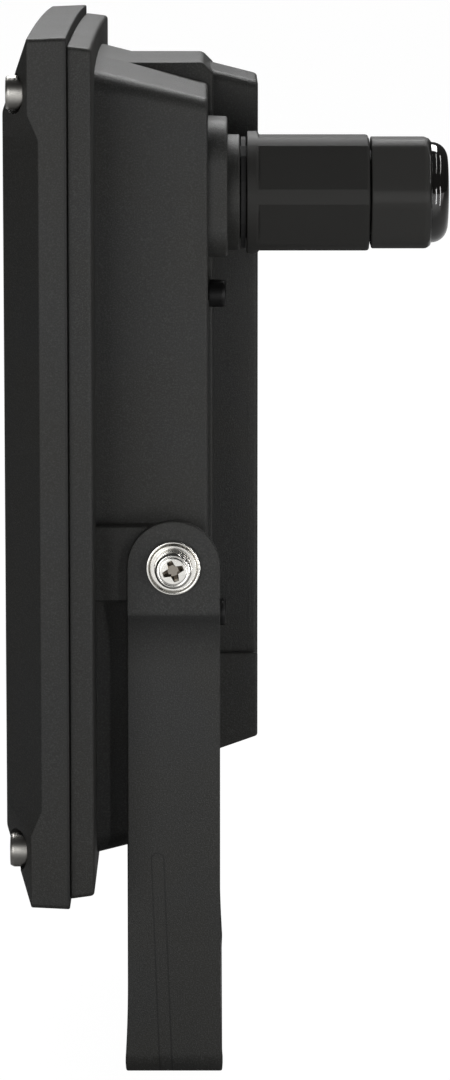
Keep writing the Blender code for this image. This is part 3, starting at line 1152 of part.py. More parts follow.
def make_gland_cap(clamp_room, clamp_end):
    """The domed cap nut, which screws over the neck and squeezes the clamp."""
    cap = hexagon("gland_cap", GLAND_CAP_FLATS, GLAND_CAP_END - OVERRUN,
                  GLAND_CAP_START + OVERRUN)
    place(cap, BLACK_NYLON, CAP_AXIS)
    corner = GLAND_CAP_CORNER
    profile = [(0, GLAND_CAP_START),
               (corner - GLAND_CAP_CHAMFER, GLAND_CAP_START),
               (corner, GLAND_CAP_START - GLAND_CAP_CHAMFER),
               (corner, GLAND_CAP_HEX_END + GLAND_CAP_SHOULDER),
               ((corner + GLAND_CAP_FLATS / 2) / 2, GLAND_CAP_HEX_END + GLAND_CAP_SHOULDER / 2),
               (GLAND_CAP_FLATS / 2 - 2 * SEAT_GAP, GLAND_CAP_HEX_END + SEAT_GAP)]
    rounding = GLAND_CAP_DOME
    flat = GLAND_CAP_DOME_RADIUS - rounding
    for step in range(CORNER_STEPS + 1):
        angle = math.radians(90) * step / CORNER_STEPS
        profile.append((flat + rounding * math.cos(angle),
                        GLAND_CAP_HEX_END - rounding * math.sin(angle)))
    profile.append((0, GLAND_CAP_END))
    shape = turned("gland_cap_shape", profile, steps=LARGE_ROUND_STEPS)
    cut(cap, place(shape, None, CAP_AXIS), "INTERSECT")
    room = GLAND_NECK_RADIUS + THREAD_CLEARANCE
    inside = turned("gland_cap_inside", [
        (0, GLAND_CAP_START + OVERRUN), (room, GLAND_CAP_START + OVERRUN),
        (room, GLAND_NECK_END - SEAT_GAP), (clamp_room, GLAND_NECK_END - 2 * SEAT_GAP),
        (clamp_room, clamp_end), (GLAND_CAP_MOUTH, GLAND_CAP_END + OVERRUN),
        (GLAND_CAP_MOUTH, GLAND_CAP_END - OVERRUN), (0, GLAND_CAP_END - OVERRUN)])
    cut(cap, place(inside, None, CAP_AXIS))


def make_lead(name, corners, surface):
    """A thin insulated wire along straight runs with rounded bends."""
    points = [Vector(corners[0])]
    for before, corner, after in zip(corners, corners[1:], corners[2:]):
        corner = Vector(corner)
        back = (Vector(before) - corner).normalized() * LEAD_BEND
        forward = (Vector(after) - corner).normalized() * LEAD_BEND
        for step in range(BEND_STEPS):
            share = step / (BEND_STEPS - 1)
            points.append(corner + back * (1 - share) ** 2 + forward * share ** 2)
    points.append(Vector(corners[-1]))
    curve = bpy.data.curves.new(name, "CURVE")
    curve.dimensions = "3D"
    curve.bevel_depth = LEAD_RADIUS
    curve.bevel_resolution = 2
    curve.use_fill_caps = True
    spline = curve.splines.new("POLY")
    spline.points.add(len(points) - 1)
    for place_on, point in zip(spline.points, points):
        place_on.co = (*point, 1)
    place(bpy.data.objects.new(name, curve), surface, FACE)


def make_leads():
    """Supply leads to the driver, an earth lead, and two leads to the LED board."""
    mouth = BODY_FLOOR + SEAT_GAP + TERMINAL_DEPTH
    entry = mouth - LEAD_ENTRY
    arch = mouth + LEAD_ARCH
    driver_end = WINDOW_REAR_MIDDLE + DRIVER_HEIGHT / 2 + SEAT_GAP
    level = DRIVER_FORWARD - LEAD_ARCH / 2
    for name, step, surface in (("live_lead", 0, BROWN_LEAD), ("neutral_lead", 1, BLUE_LEAD)):
        way_x = TERMINAL_X + step * TERMINAL_WAY_PITCH
        end_x = (step - 1) * LEAD_SPACING
        turn_y = driver_end + SUPPLY_LEAD_REACH - step * LEAD_SPACING
        make_lead(name, [(way_x, TERMINAL_Y, entry), (way_x, TERMINAL_Y, arch),
                         (way_x, turn_y, arch), (end_x, turn_y, arch),
                         (end_x, turn_y, level), (end_x, driver_end, level)], surface)
    way_x = TERMINAL_X - TERMINAL_WAY_PITCH
    earth_x = EARTH_X - EARTH_SCREW_HEAD_RADIUS - LEAD_RADIUS - SEAT_GAP
    earth_z = BODY_FLOOR + EARTH_BOSS_HEIGHT + LEAD_RADIUS + 2 * SEAT_GAP
    make_lead("earth_lead", [(way_x, TERMINAL_Y, entry), (way_x, TERMINAL_Y, arch),
                             (way_x, EARTH_Y + LEAD_BEND + TERMINAL_WIDTH, arch),
                             (earth_x, EARTH_Y + LEAD_BEND + LEAD_ARCH, earth_z),
                             (earth_x, EARTH_Y, earth_z)], GREEN_LEAD)
    start_y = WINDOW_REAR_MIDDLE - DRIVER_HEIGHT / 2 - SEAT_GAP
    for name, side, surface in (("led_plus_lead", 1, RED_LEAD), ("led_minus_lead", -1, BLACK_LEAD)):
        lead_x = side * LEAD_SPACING / 2
        make_lead(name, [(lead_x, start_y, level), (lead_x, -LEAD_HOLE_Y, level),
                         (lead_x, -LEAD_HOLE_Y, BOARD_FRONT - LED_SINK)], surface)


def make_pivot_fasteners():
    """At each ear: a flat washer, a split washer and a cross-recessed bolt."""
    washer_back = EAR_PLANE + SEAT_GAP
    spring_back = washer_back + WASHER_THICKNESS + SEAT_GAP
    head_back = spring_back + SPRING_WASHER_THICKNESS + SEAT_GAP
    bore = BOLT_RADIUS + THREAD_CLEARANCE
    for name, side in (("right", 1), ("left", -1)):
        turn = (0, side * math.radians(90), 0)
        washer = turned(f"pivot_washer_{name}", ring_profile(
            bore, WASHER_RADIUS, washer_back + WASHER_THICKNESS, washer_back), closed=True)
        place(washer, STAINLESS, TILT_AXIS, rotation=turn)
        spring = turned(f"pivot_spring_washer_{name}", ring_profile(
            bore, SPRING_WASHER_RADIUS, spring_back + SPRING_WASHER_THICKNESS, spring_back),
            closed=True)
        place(spring, STAINLESS, TILT_AXIS, rotation=turn)
        split = block("washer_split", (2 * SPRING_WASHER_RADIUS, SPRING_WASHER_SPLIT,
                                       2 * SPRING_WASHER_THICKNESS),
                      (-SPRING_WASHER_RADIUS, 0, spring_back + SPRING_WASHER_THICKNESS / 2))
        cut(spring, place(split, None, TILT_AXIS, rotation=turn))
        top = head_back + BOLT_HEAD_HEIGHT
        edge = BOLT_HEAD_HEIGHT / 3
        bolt = turned(f"pivot_bolt_{name}", [
            (0, top), (BOLT_HEAD_RADIUS - 2 * edge, top),
            (BOLT_HEAD_RADIUS - edge / 2, top - edge / 2), (BOLT_HEAD_RADIUS, top - 2 * edge),
            (BOLT_HEAD_RADIUS, head_back), (BOLT_RADIUS, head_back), (BOLT_RADIUS, BOLT_TIP),
            (0, BOLT_TIP)])
        place(bolt, STAINLESS, TILT_AXIS, rotation=turn)
        depth = BOLT_RECESS_DEPTH + OVERRUN
        middle = (0, 0, top + (OVERRUN - BOLT_RECESS_DEPTH) / 2)
        for wide, tall in ((BOLT_RECESS_LENGTH, BOLT_RECESS_WIDTH),
                           (BOLT_RECESS_WIDTH, BOLT_RECESS_LENGTH)):
            recess = block("bolt_recess", (wide, tall, depth), middle)
            cut(bolt, place(recess, None, TILT_AXIS, rotation=turn))
        smooth(bolt)


make_bracket()
make_bezel()
make_bezel_screws()
make_glass()
make_bezel_seal()
make_housing()
make_light_engine()
make_rear_screws()
make_rear_cover()
make_driver()
make_terminals()
make_leads()
make_gland()
make_pivot_fasteners()
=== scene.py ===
"""LED flood light on its bracket, dressed piece by piece in the order of assembly."""
import math

import bmesh
import bpy
from mathutils import Matrix, Vector


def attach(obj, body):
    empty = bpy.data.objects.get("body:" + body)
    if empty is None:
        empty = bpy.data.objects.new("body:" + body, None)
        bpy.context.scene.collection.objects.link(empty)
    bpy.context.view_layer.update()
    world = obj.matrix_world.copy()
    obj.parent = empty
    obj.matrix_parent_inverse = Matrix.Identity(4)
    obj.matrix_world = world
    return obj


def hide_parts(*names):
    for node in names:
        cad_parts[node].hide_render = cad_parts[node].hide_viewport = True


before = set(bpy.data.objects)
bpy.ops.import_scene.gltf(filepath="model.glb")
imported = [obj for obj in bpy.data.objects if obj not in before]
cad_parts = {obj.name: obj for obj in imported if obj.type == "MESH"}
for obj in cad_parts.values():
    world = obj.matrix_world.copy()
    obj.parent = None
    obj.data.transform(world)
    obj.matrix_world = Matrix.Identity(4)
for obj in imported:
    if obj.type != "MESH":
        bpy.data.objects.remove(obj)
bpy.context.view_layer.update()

scene = bpy.context.scene
scene.view_settings.view_transform = "Standard"

# The stand: a pale floor under soft studio lamps, with a white sweep beyond the lamp. The
# camera looks at the gland side from about 1.3 m, a little from above, through a long lens.
TILT_HEIGHT = 0.1377
CAMERA_FROM_TILT_AXIS = (1.3479, 0.0115, 0.1994)
CAMERA_PITCH = math.radians(8.59)
CAMERA_YAW = math.radians(0.094)
SENSOR_HEIGHT_MM = 24
FOCAL_LENGTH_MM = 108.9
NEAR_LIMIT = 0.01
WHITE = (1, 1, 1, 1)
FLOOR_COLOR = (0.22, 0.22, 0.22)
FLOOR_REACH = 60
FLOOR_DROP = 0.0003
FLOOR_WHITE_SHARE = 0.86
FLOOR_WHITE_STRENGTH = 1.15
SWEEP_DIRECTION = (-0.30, -0.10, 0.95)
SWEEP_RANGE = (-0.6, 0.9, 0.06, 0.65)
LAMP_TARGET = (0.04, 0.05, 0.2)
# Name, both ends, width and power of each soft lamp
LAMPS = (
    ("overhead_lamp", (-1.75, 0.0, 1.45), (-0.55, 0.0, 1.45), 1.2, 38),
    ("camera_side_lamp", (1.6, -1.2, 0.4), (1.6, -0.2, 0.4), 0.7, 9),
    ("ceiling_strip", (-0.36, 0.59, 1.73), (1.23, 0.95, 1.73), 0.04, 1.9),
    ("rear_ceiling_strip", (-0.54, 0.95, 1.33), (0.60, 1.61, 1.33), 0.04, 1.9),
    ("side_strip", (0.493, 0.29, 0.01), (0.493, 0.29, 0.36), 0.032, 0.40),
    ("rear_strip", (0.323, 0.48, 0.01), (0.323, 0.48, 0.36), 0.032, 0.40))

lens = bpy.data.cameras.new("studio_camera")
lens.sensor_fit = "VERTICAL"
lens.sensor_height = SENSOR_HEIGHT_MM
lens.lens = FOCAL_LENGTH_MM
lens.clip_start = NEAR_LIMIT
camera = bpy.data.objects.new("studio_camera", lens)
camera.location = Vector(CAMERA_FROM_TILT_AXIS) + Vector((0, 0, TILT_HEIGHT))
camera.rotation_euler = (math.radians(90) - CAMERA_PITCH, 0, math.radians(90) - CAMERA_YAW)
scene.collection.objects.link(camera)
scene.camera = camera


class Value:
    """A number that varies over a surface: Python sums on it become Math nodes."""

    def __init__(self, nodes, socket):
        self.nodes = nodes
        self.socket = socket

    def math(self, operation, other, flipped=False):
        pair = (other, self) if flipped else (self, other)
        return self.nodes.node("Math", {"operation": operation}, dict(enumerate(pair)))

    def __add__(self, other):
        return self.math("ADD", other)

    def __radd__(self, other):
        return self.math("ADD", other, True)

    def __sub__(self, other):
        return self.math("SUBTRACT", other)

    def __rsub__(self, other):
        return self.math("SUBTRACT", other, True)

    def __mul__(self, other):
        return self.math("MULTIPLY", other)

    def __rmul__(self, other):
        return self.math("MULTIPLY", other, True)

    def __abs__(self):
        return self.nodes.node("Math", {"operation": "ABSOLUTE"}, {0: self})


class Nodes:
    """A tree of shader nodes, which all come from one method."""

    def __init__(self, tree):
        self.tree = tree

    def join(self, socket, value):
        if isinstance(value, Value):
            self.tree.links.new(value.socket, socket)
        else:
            socket.default_value = value

    def node(self, kind, settings=None, inputs=None, output=0):
        made = self.tree.nodes.new("ShaderNode" + kind)
        for name, value in (settings or {}).items():
            if name == "stops":
                ramp = made.color_ramp
                while len(ramp.elements) < len(value):
                    ramp.elements.new(0.5)
                for element, (position, shade) in zip(ramp.elements, value):
                    element.position = position
                    element.color = (shade, shade, shade, 1)
            else:
                setattr(made, name, value)
        for name, value in (inputs or {}).items():
            self.join(made.inputs[name], value)
        return Value(self, made.outputs[output])


class Finish(Nodes):
    """One material, with its shader and the nodes that vary it."""

    def __init__(self, name, color, roughness, metallic=0.0, **sockets):
        self.material = bpy.data.materials.new(name)
        self.material.use_nodes = True
        super().__init__(self.material.node_tree)
        self.shader = self.tree.nodes["Principled BSDF"]
        self.set("Base Color", (*color, 1))
        self.set("Roughness", roughness)
        self.set("Metallic", metallic)
        for socket, value in sockets.items():
            self.set(socket.replace("_", " "), value)
        self.place = self.node("TexCoord", output="Object")

    def set(self, socket, value):
        self.join(self.shader.inputs[socket], value)

    def noise(self, size, detail=2.0, rough=0.5):
        return self.node("TexNoise", {}, {"Vector": self.place, "Scale": 1 / size,
                                          "Detail": detail, "Roughness": rough})

    def axis(self, letter):
        return self.node("SeparateXYZ", {}, {0: self.place}, letter)

    def ramp(self, value, *stops):
        return self.node("ValToRGB", {"stops": stops}, {"Fac": value})

    def mix(self, share, first, second):
        return self.node("Mix", {"data_type": "RGBA"},
                         {0: share, 6: (*first, 1) if isinstance(first, tuple) else first,
                          7: (*second, 1) if isinstance(second, tuple) else second}, 2)

    def overlay(self, share, color):
        """Lay a colour over the one so far, by a share that varies."""
        so_far = Value(self, self.shader.inputs["Base Color"].links[0].from_socket)
        self.set("Base Color", self.mix(share, so_far, color))

    def distance(self, across, along):
        """How far a point lies from an axis, from its two offsets."""
        offset = self.node("CombineXYZ", {}, {0: across, 1: along})
        return self.node("VectorMath", {"operation": "LENGTH"}, {0: offset}, "Value")

    def relief(self, height, depth, strength=1.0):
        self.set("Normal", self.node("Bump", {}, {"Strength": strength, "Distance": depth,
                                                  "Height": height}))


def add_floor():
    """A pale floor that keeps the lamp's shadow, shows near white in the picture and carries
    painted shade in reflections.
    """
    finish = Finish("pale_floor", FLOOR_COLOR, 0.9)
    bare = Value(finish, finish.shader.outputs[0])
    rays = [finish.node("LightPath", output=f"Is {kind} Ray")
            for kind in ("Camera", "Glossy", "Transmission")]
    # Painted shade: glossy rays see the floor white only from about half a metre towards the
    # camera; near the head and behind it they see mostly its dim grey.
    reflected_floor_shade = finish.ramp(finish.axis("X"), (0.18, 0.08), (0.55, 1.0))
    share = (rays[0] + reflected_floor_shade * rays[1] + rays[2]) * FLOOR_WHITE_SHARE
    white = finish.node("Emission", {}, {"Color": WHITE, "Strength": FLOOR_WHITE_STRENGTH})
    mixed = finish.node("MixShader", {}, {0: share, 1: bare, 2: white})
    finish.join(finish.tree.nodes["Material Output"].inputs[0], mixed)
    bm = bmesh.new()
    bmesh.ops.create_grid(bm, x_segments=1, y_segments=1, size=FLOOR_REACH)
    mesh = bpy.data.meshes.new("floor")
    bm.to_mesh(mesh)
    bm.free()
    floor = bpy.data.objects.new("floor", mesh)
    floor.location = (0, 0, -FLOOR_DROP)
    floor.data.materials.append(finish.material)
    scene.collection.objects.link(floor)


def add_lamp(name, start, end, width, power):
    """A soft lamp between two points, which faces the gland."""
    start, end = Vector(start), Vector(end)
    light = bpy.data.lights.new(name, "AREA")
    light.shape = "RECTANGLE"
    light.size = (end - start).length
    light.size_y = width
    light.energy = power
    lamp = bpy.data.objects.new(name, light)
    lamp.location = (start + end) / 2
    along = (end - start).normalized()
    back = lamp.location - Vector(LAMP_TARGET)
    back = (back - along * back.dot(along)).normalized()
    lamp.rotation_euler = Matrix((along, back.cross(along), back)).transposed().to_euler()
    scene.collection.objects.link(lamp)


def add_sweep():
    """The world: white where the camera sees it, and in gloss bright beyond the lamp."""
    world = bpy.data.worlds.new("studio")
    scene.world = world
    world.use_nodes = True
    sky = Nodes(world.node_tree)
    across = sky.node("VectorMath", {"operation": "DOT_PRODUCT"},
                      {0: sky.node("TexCoord", output="Generated"), 1: SWEEP_DIRECTION}, "Value")
    shade = sky.node("MapRange", {"interpolation_type": "SMOOTHSTEP"},
                     {0: across, **dict(enumerate(SWEEP_RANGE, 1))})
    lit = sky.tree.nodes["Background"]
    sky.join(lit.inputs["Strength"], shade)
    white = sky.node("Background", {}, {"Color": WHITE})
    rays = [sky.node("LightPath", output=f"Is {kind} Ray") for kind in ("Camera", "Transmission")]
    plain = sky.node("Math", {"operation": "MAXIMUM"}, dict(enumerate(rays)))
    blend = sky.node("MixShader", {}, {0: plain, 1: Value(sky, lit.outputs[0]), 2: white})
    sky.join(sky.tree.nodes["World Output"].inputs[0], blend)


add_floor()
add_sweep()
for lamp_row in LAMPS:
    add_lamp(*lamp_row)

# Bracket: one strip of 3 mm steel, punched, joggled inwards below the ears and bent into a U.
# A pressed bead stiffens the foot of each arm, drawn only as a painted shade line. It is powder
# coated in a fine charcoal.
STRIP_WIDTH = 0.0246
STRIP_THICKNESS = 0.003
EAR_PLANE = 0.0765
EAR_OUTSET = 0.002
EAR_DROP = 0.0124
EAR_STEP_HEIGHT = 0.0135
EAR_STEP_CURVE = 2.4
EAR_MIDDLE = EAR_PLANE - STRIP_THICKNESS / 2
ARM_MIDDLE = EAR_MIDDLE - EAR_OUTSET
STEP_TOP = TILT_HEIGHT - EAR_DROP
EAR_STRAIGHT = 0.0006
ARM_END = 0.03
ARM_ROW_PITCH = 0.002
BASE_BEND_RADIUS = 0.0045
BEND_SPREAD = 0.0007
BEND_SPREAD_MIDDLE = 0.004
BEND_SPREAD_REACH = 0.022
BEND_SPREAD_START_X = 0.06
BRACKET_EDGE = 0.0005
SLOT_SPACING = 0.080
SLOT_LENGTH = 0.018
SLOT_WIDTH = 0.007
SLOT_END_FLAT = 0.0001
BOLT_RADIUS = 0.0025
BORE_CLEARANCE = 0.0003
BEAD_TOP = 0.0590
BEAD_FORWARD = 0.0043
BEAD_LEAN = 0.0375
BEAD_HALF_WIDTH = 0.00165
SHARP = math.radians(32)
IN_MM = 1000
CORNER_STEPS = 6
CROWN_STEPS = 6
EASE_STEPS = 4
EASE_LIMIT = 0.48
TINY = 1e-9


def powder_coat(name, color, grain, roughness):
    """Baked powder coat: a fine grain with faint lighter specks and a slow drift of tint."""
    finish = Finish(name, color, roughness, Specular_IOR_Level=0.38)
    fine = finish.noise(grain, 3.0, 0.6)
    broad = finish.noise(grain * 60)
    specks = finish.ramp(fine, (0.46, 0.0), (0.80, 1.0))
    lighter = tuple(channel * 2.8 for channel in color)
    warm = (color[0] * 1.07, color[1] * 1.03, color[2] * 0.95)
    tint = finish.mix(finish.ramp(broad, (0.38, 0.0), (0.62, 1.0)), color, warm)
    finish.set("Base Color", finish.mix(specks, tint, lighter))
    finish.set("Roughness", roughness - 0.06 + 0.08 * broad + 0.05 * fine)
    finish.relief(fine + 0.4 * broad, grain * 0.35, 0.7)
    return finish


def object_from(bm, name):
    """Turn a bmesh into an object of the scene."""
    bmesh.ops.recalc_face_normals(bm, faces=bm.faces)
    mesh = bpy.data.meshes.new(name)
    bm.to_mesh(mesh)
    bm.free()
    made = bpy.data.objects.new(name, mesh)
    scene.collection.objects.link(made)
    return made


def settle(piece, modifiers=(), tools=()):
    """Apply a piece's modifiers and Booleans in order, and drop the tools that cut it."""
    for kind, settings in modifiers:
        change = piece.modifiers.new(kind, kind)
        for name, value in settings.items():
            setattr(change, name, value)
    for tool, operation in tools:
        change = piece.modifiers.new("form", "BOOLEAN")
        change.operation = operation
        change.solver = "EXACT"
        change.object = tool
    bpy.context.view_layer.update()
    shown = piece.evaluated_get(bpy.context.evaluated_depsgraph_get())
    mesh = bpy.data.meshes.new_from_object(shown)
    old = piece.data
    piece.modifiers.clear()
    piece.data = mesh
    bpy.data.meshes.remove(old)
    for tool, _ in tools:
        bpy.data.objects.remove(tool, do_unlink=True)


def rounding(width, angle=SHARP):
    """A Bevel modifier's settings."""
    return "BEVEL", {"width": width, "segments": 3, "limit_method": "ANGLE",
                     "angle_limit": angle, "use_clamp_overlap": True}


def dress(piece, finish, body, nodes, spot=(0, 0, 0), turn=(0, 0, 0), sharp=SHARP):
    """Shade a finished piece, set it in place and tell the frame what it stands for."""
    piece.data.materials.clear()
    piece.data.shade_smooth()
    piece.data.set_sharp_from_angle(angle=sharp)
    weigh = piece.modifiers.new("even_shading", "WEIGHTED_NORMAL")
    weigh.keep_sharp = True
    weigh.weight = 80
    piece.data.materials.append(finish.material)
    piece.rotation_euler = turn
    piece.location = spot
    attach(piece, body)
    if nodes:
        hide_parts(*nodes)


def rounded_outline(width, height, radius, crown=0.0, middle=0.0, steps=CORNER_STEPS):
    """Points of a rectangle with round corners, and bowed top and bottom edges."""
    reach_x = width / 2 - radius
    reach_y = height / 2 - radius
    points = []
    for turn, (side_x, side_y) in enumerate(((1, 1), (-1, 1), (-1, -1), (1, -1))):
        for step in range(steps + 1):
            angle = math.radians(90) * (turn + step / steps)
            points.append((side_x * reach_x + radius * math.cos(angle),
                           side_y * reach_y + radius * math.sin(angle) + middle))
        if crown and turn % 2 == 0:
            for step in range(1, 2 * CROWN_STEPS):
                share = 1 - step / CROWN_STEPS
                rise = height / 2 + crown * (1 - share ** 2)
                points.append((side_x * share * reach_x, side_y * rise + middle))
    return points


def level(outline, z):
    """An outline's points at one height."""
    return [Vector((x, y, z)) for x, y in outline]


def eased(path, radii):
    """Round chosen corners of a path, each with a short curve."""
    eased_path = []
    for index, corner in enumerate(path):
        radius = radii[index]
        if not radius:
            eased_path.append(corner)
            continue
        back = path[index - 1] - corner
        ahead = path[(index + 1) % len(path)] - corner
        back *= min(radius / max(back.length, TINY), EASE_LIMIT)
        ahead *= min(radius / max(ahead.length, TINY), EASE_LIMIT)
        for step in range(EASE_STEPS + 1):
            share = step / EASE_STEPS
            eased_path.append(corner + back * (1 - share) ** 2 + ahead * share ** 2)
    return eased_path


def formed(name, rings, radii=None, closed=False):
    """A solid through rings of as many points, with the corners between rings rounded."""
    radii = radii or [0] * len(rings)
    columns = [eased(list(column), radii) for column in zip(*rings)]
    bm = bmesh.new()
    rows = [[bm.verts.new(point) for point in row] for row in zip(*columns)]
    for row, following in list(zip(rows, rows[1:])) + [(rows[-1], rows[0])] * closed:
        for index in range(len(row)):
            after = (index + 1) % len(row)
            bm.faces.new((row[index], row[after], following[after], following[index]))
    if not closed:
        bm.faces.new(rows[0])
        bm.faces.new(rows[-1])
    return object_from(bm, name)


def prism(name, outline, start, end):
    """A straight solid between two heights, mostly for cutting."""
    return formed(name, [level(outline, start), level(outline, end)])


def rods(name, places, radius, start, end, segments=32, end_radius=None):
    """Cylinders or cones along z, one at each place, in one mesh."""
    bm = bmesh.new()
    for x, y in places:
        made = bmesh.ops.create_cone(bm, cap_ends=True, segments=segments, depth=end - start,
                                     radius1=radius, radius2=end_radius or radius)
        turn = Matrix.Rotation(math.pi / segments, 3, "Z")
        bmesh.ops.rotate(bm, verts=made["verts"], matrix=turn)
        bmesh.ops.translate(bm, vec=(x, y, (start + end) / 2), verts=made["verts"])
    return object_from(bm, name)


def strip_route():
    """The middle line of the strip from ear to ear, as points in x and z."""
    right = [(EAR_MIDDLE, TILT_HEIGHT), (EAR_MIDDLE, STEP_TOP + EAR_STRAIGHT)]
    for step in range(13):
        share = 1 - step / 12
        right.append((ARM_MIDDLE + EAR_OUTSET * share ** EAR_STEP_CURVE,
                      STEP_TOP - EAR_STEP_HEIGHT * (1 - share)))
    right += [(ARM_MIDDLE, ARM_END - ARM_ROW_PITCH * step) for step in range(11)]
    for step in range(13):
        angle = math.radians(90) * step / 12
        right.append((ARM_MIDDLE - BASE_BEND_RADIUS * (1 - math.cos(angle)),
                      STRIP_THICKNESS / 2 + BASE_BEND_RADIUS * (1 - math.sin(angle))))
    return right + [(-x, z) for x, z in reversed(right)]


def bend_strip():
    """The strip as a bent sheet with round ears, a little wider where it was bent."""
    bm = bmesh.new()
    reach = STRIP_WIDTH / 2
    rows = []
    for x, z in strip_route():
        near_bend = max(0.0, 1 - abs(z - BEND_SPREAD_MIDDLE) / BEND_SPREAD_REACH)
        wide = reach + BEND_SPREAD * (near_bend * (abs(x) > BEND_SPREAD_START_X)) ** 2
        rows.append((bm.verts.new((x, -wide, z)), bm.verts.new((x, wide, z))))
    for (near, far), (next_near, next_far) in zip(rows, rows[1:]):
        bm.faces.new((near, far, next_far, next_near))
    for (near, far), side in ((rows[0], 1), (rows[-1], -1)):
        arc = [near]
        for step in range(1, 32):
            angle = math.pi * step / 32
            arc.append(bm.verts.new((side * EAR_MIDDLE, -reach * math.cos(angle),
                                     TILT_HEIGHT + reach * math.sin(angle))))
        bm.faces.new(arc + [far])
    return object_from(bm, "bracket_strip")


def bracket_coat():
    """Powder coat, with painted shade below the joggle and a fine line of painted shade for the
    bead.
    """
    finish = powder_coat("charcoal_bracket", (0.0280, 0.0286, 0.0278), 0.00036, 0.52)
    # Painted shade: the bead is not in the mesh; a fine dark outline of it in the coat stands in
    # for the shade along its edges.
    low = BEAD_TOP - finish.axis("Z")
    above = finish.node("Math", {"operation": "MAXIMUM"}, {0: 0 - low, 1: 0.0})
    across = finish.axis("Y") + BEAD_FORWARD - low * BEAD_LEAN
    from_line = abs(finish.distance(across, above) - BEAD_HALF_WIDTH)
    line = finish.ramp(from_line * IN_MM, (0.10, 1.0), (0.32, 0.0))
    # Painted shade: the coat darkens just below the joggle's bend and fades out over about 15 mm,
    # where the step's shade falls.
    below = STEP_TOP - finish.axis("Z")
    joggle_painted_shade = finish.ramp(below * 50, (0.0, 0.0), (0.03, 1.0), (0.75, 0.0))
    finish.overlay(joggle_painted_shade * 0.6, (0.006, 0.006, 0.006))
    finish.overlay(line * 0.6, (0.008, 0.008, 0.008))
    return finish


def make_bracket():
    """Bend the strip, punch it and take off its edges."""
    bracket = bend_strip()
    settle(bracket, [("SOLIDIFY", {"thickness": STRIP_THICKNESS, "offset": 0,
                                   "use_even_offset": True})])
    bores = rods("ear_bores", ((0, 0),), BOLT_RADIUS + BORE_CLEARANCE, -0.1, 0.1)
    bores.rotation_euler = (0, math.radians(90), 0)
    bores.location = (0, 0, TILT_HEIGHT)
    tools = [(bores, "DIFFERENCE")]
    for side in (1, -1):
        outline = rounded_outline(SLOT_LENGTH, SLOT_WIDTH, SLOT_WIDTH / 2 - SLOT_END_FLAT)
        slot = prism("slot", outline, -0.01, 0.01)
        slot.location = (side * SLOT_SPACING / 2, 0, STRIP_THICKNESS / 2)
        tools.append((slot, "DIFFERENCE"))
    settle(bracket, tools=tools)
    settle(bracket, [rounding(BRACKET_EDGE, math.radians(50))])
    dress(bracket, bracket_coat(), "bracket", ["bracket"])


make_bracket()

# Housing: the die-cast aluminium body behind the bezel. Its flange, lugs, gland boss, ridge,
# rear panel and driver box are one casting, machined inside and powder coated in charcoal.
HEAD_RISE = 0.0266
HEAD_PLACE = (0, 0, TILT_HEIGHT + HEAD_RISE)
FORWARD = (math.radians(90), 0, 0)
OVERRUN = 0.001
HOUSING_FRONT = 0.0267
FRONT_CUT = 0.0277
PARTING_LINE = 0.02705
FLANGE_BACK = 0.0205
FLANGE_SIZE = (0.1954, 0.2219)
FLANGE_BACK_SIZE = (0.194, 0.2205)
FRONT_CORNER = 0.0013
FRONT_CROWN = 0.0011
BODY_WIDTH = 0.136
BODY_HEIGHT = 0.209
BODY_DEPTH = 0.0296
BODY_SIDE_DRAFT = 0.004
BODY_END_DRAFT = 0.015
BODY_CORNER = 0.0060
BODY_CORNER_DRAFT = 0.002
BODY_CROWN = 0.0026
BODY_SINK = 0.0013
BODY_BACK = -0.0091
BODY_FLOOR = -0.0061
WALLS = (0.0035, 0.005)
RECESS_SIZE = (0.164, 0.178, 0.005)
RECESS_FLOOR = 0.0233
PANEL_BACK = -0.0105
PANEL_END = -0.0895
RIDGE_FRONT = 0.014
RIDGE_HALF_WIDTH = 0.029
RIDGE_TOP = 0.1033
RIDGE_SHOULDER = 0.1003
RIDGE_CHAMFER = 0.003
RIDGE_ROOT = 0.090
RIDGE_INSIDE = 0.0081
RIDGE_EDGE = 0.0008
BOX_TOP_SLOPE = math.tan(math.radians(14))
BOX_BOTTOM_SLOPE = math.tan(math.radians(19))
BOX_SIDE_SLOPE = math.tan(math.radians(3))
BOX_WIDTH = 0.042
BOX_TOP = 0.1011
BOX_BOTTOM = -0.0853
BOX_FACE = -0.0197
COVER_BACK = -0.0226
FOOT_SIZE = (0.048, -0.0586, -0.0863)
ROOM_WIDTH = 0.0422
ROOM_BOTTOM = -0.0883
WINDOW_MIDDLE = 0.0083
WINDOW_SIZE = (0.033, 0.138, 0.003)
LUG_FACE = 0.0732
LUG_ROOT = 0.060
LUG_RADIUS = 0.010
LUG_FRONT = 0.0215
LUG_PLACE = (0, -0.0262, 0)
LUG_EDGE = 0.0006
GLAND_PLACE = (0.043, 0.0694)
BOSS_HALF_WIDTH = 0.0199
BOSS_BACK = -0.0143
BOSS_CORNERS = ((1, 0.0197, 0.0117), (-1, 0.0197, 0.0117), (-1, -0.016, 0.008),
                (1, -0.016, 0.008))
COLLAR_RADIUS = 0.0154
COLLAR_BACK = -0.0176
COLLAR_FRONT = -0.0133
COLLAR_EDGE = 0.0005
COLUMN_RADIUS = 0.0055
EARTH_PLACE = (-0.042, 0.018)
EARTH_BOSS_RADIUS = 0.0045
EARTH_BOSS_TOP = -0.0011
PIVOT_DRILL_START = 0.0657
PIVOT_DRILL_DEPTH = 0.0085
THREAD_RADIUS = 0.0028
BEZEL_SCREW_PLACES = [(x, y) for y in (0.09875, -0.09875) for x in (0.092, -0.092)]
REAR_SCREW_PLACES = [(x, y) for y in (0.0416, -0.0452) for x in (0.035, -0.035)]
COVER_SCREW_PLACES = [(x, y) for y in (0.0886, -0.0728) for x in (0.014, -0.014)]
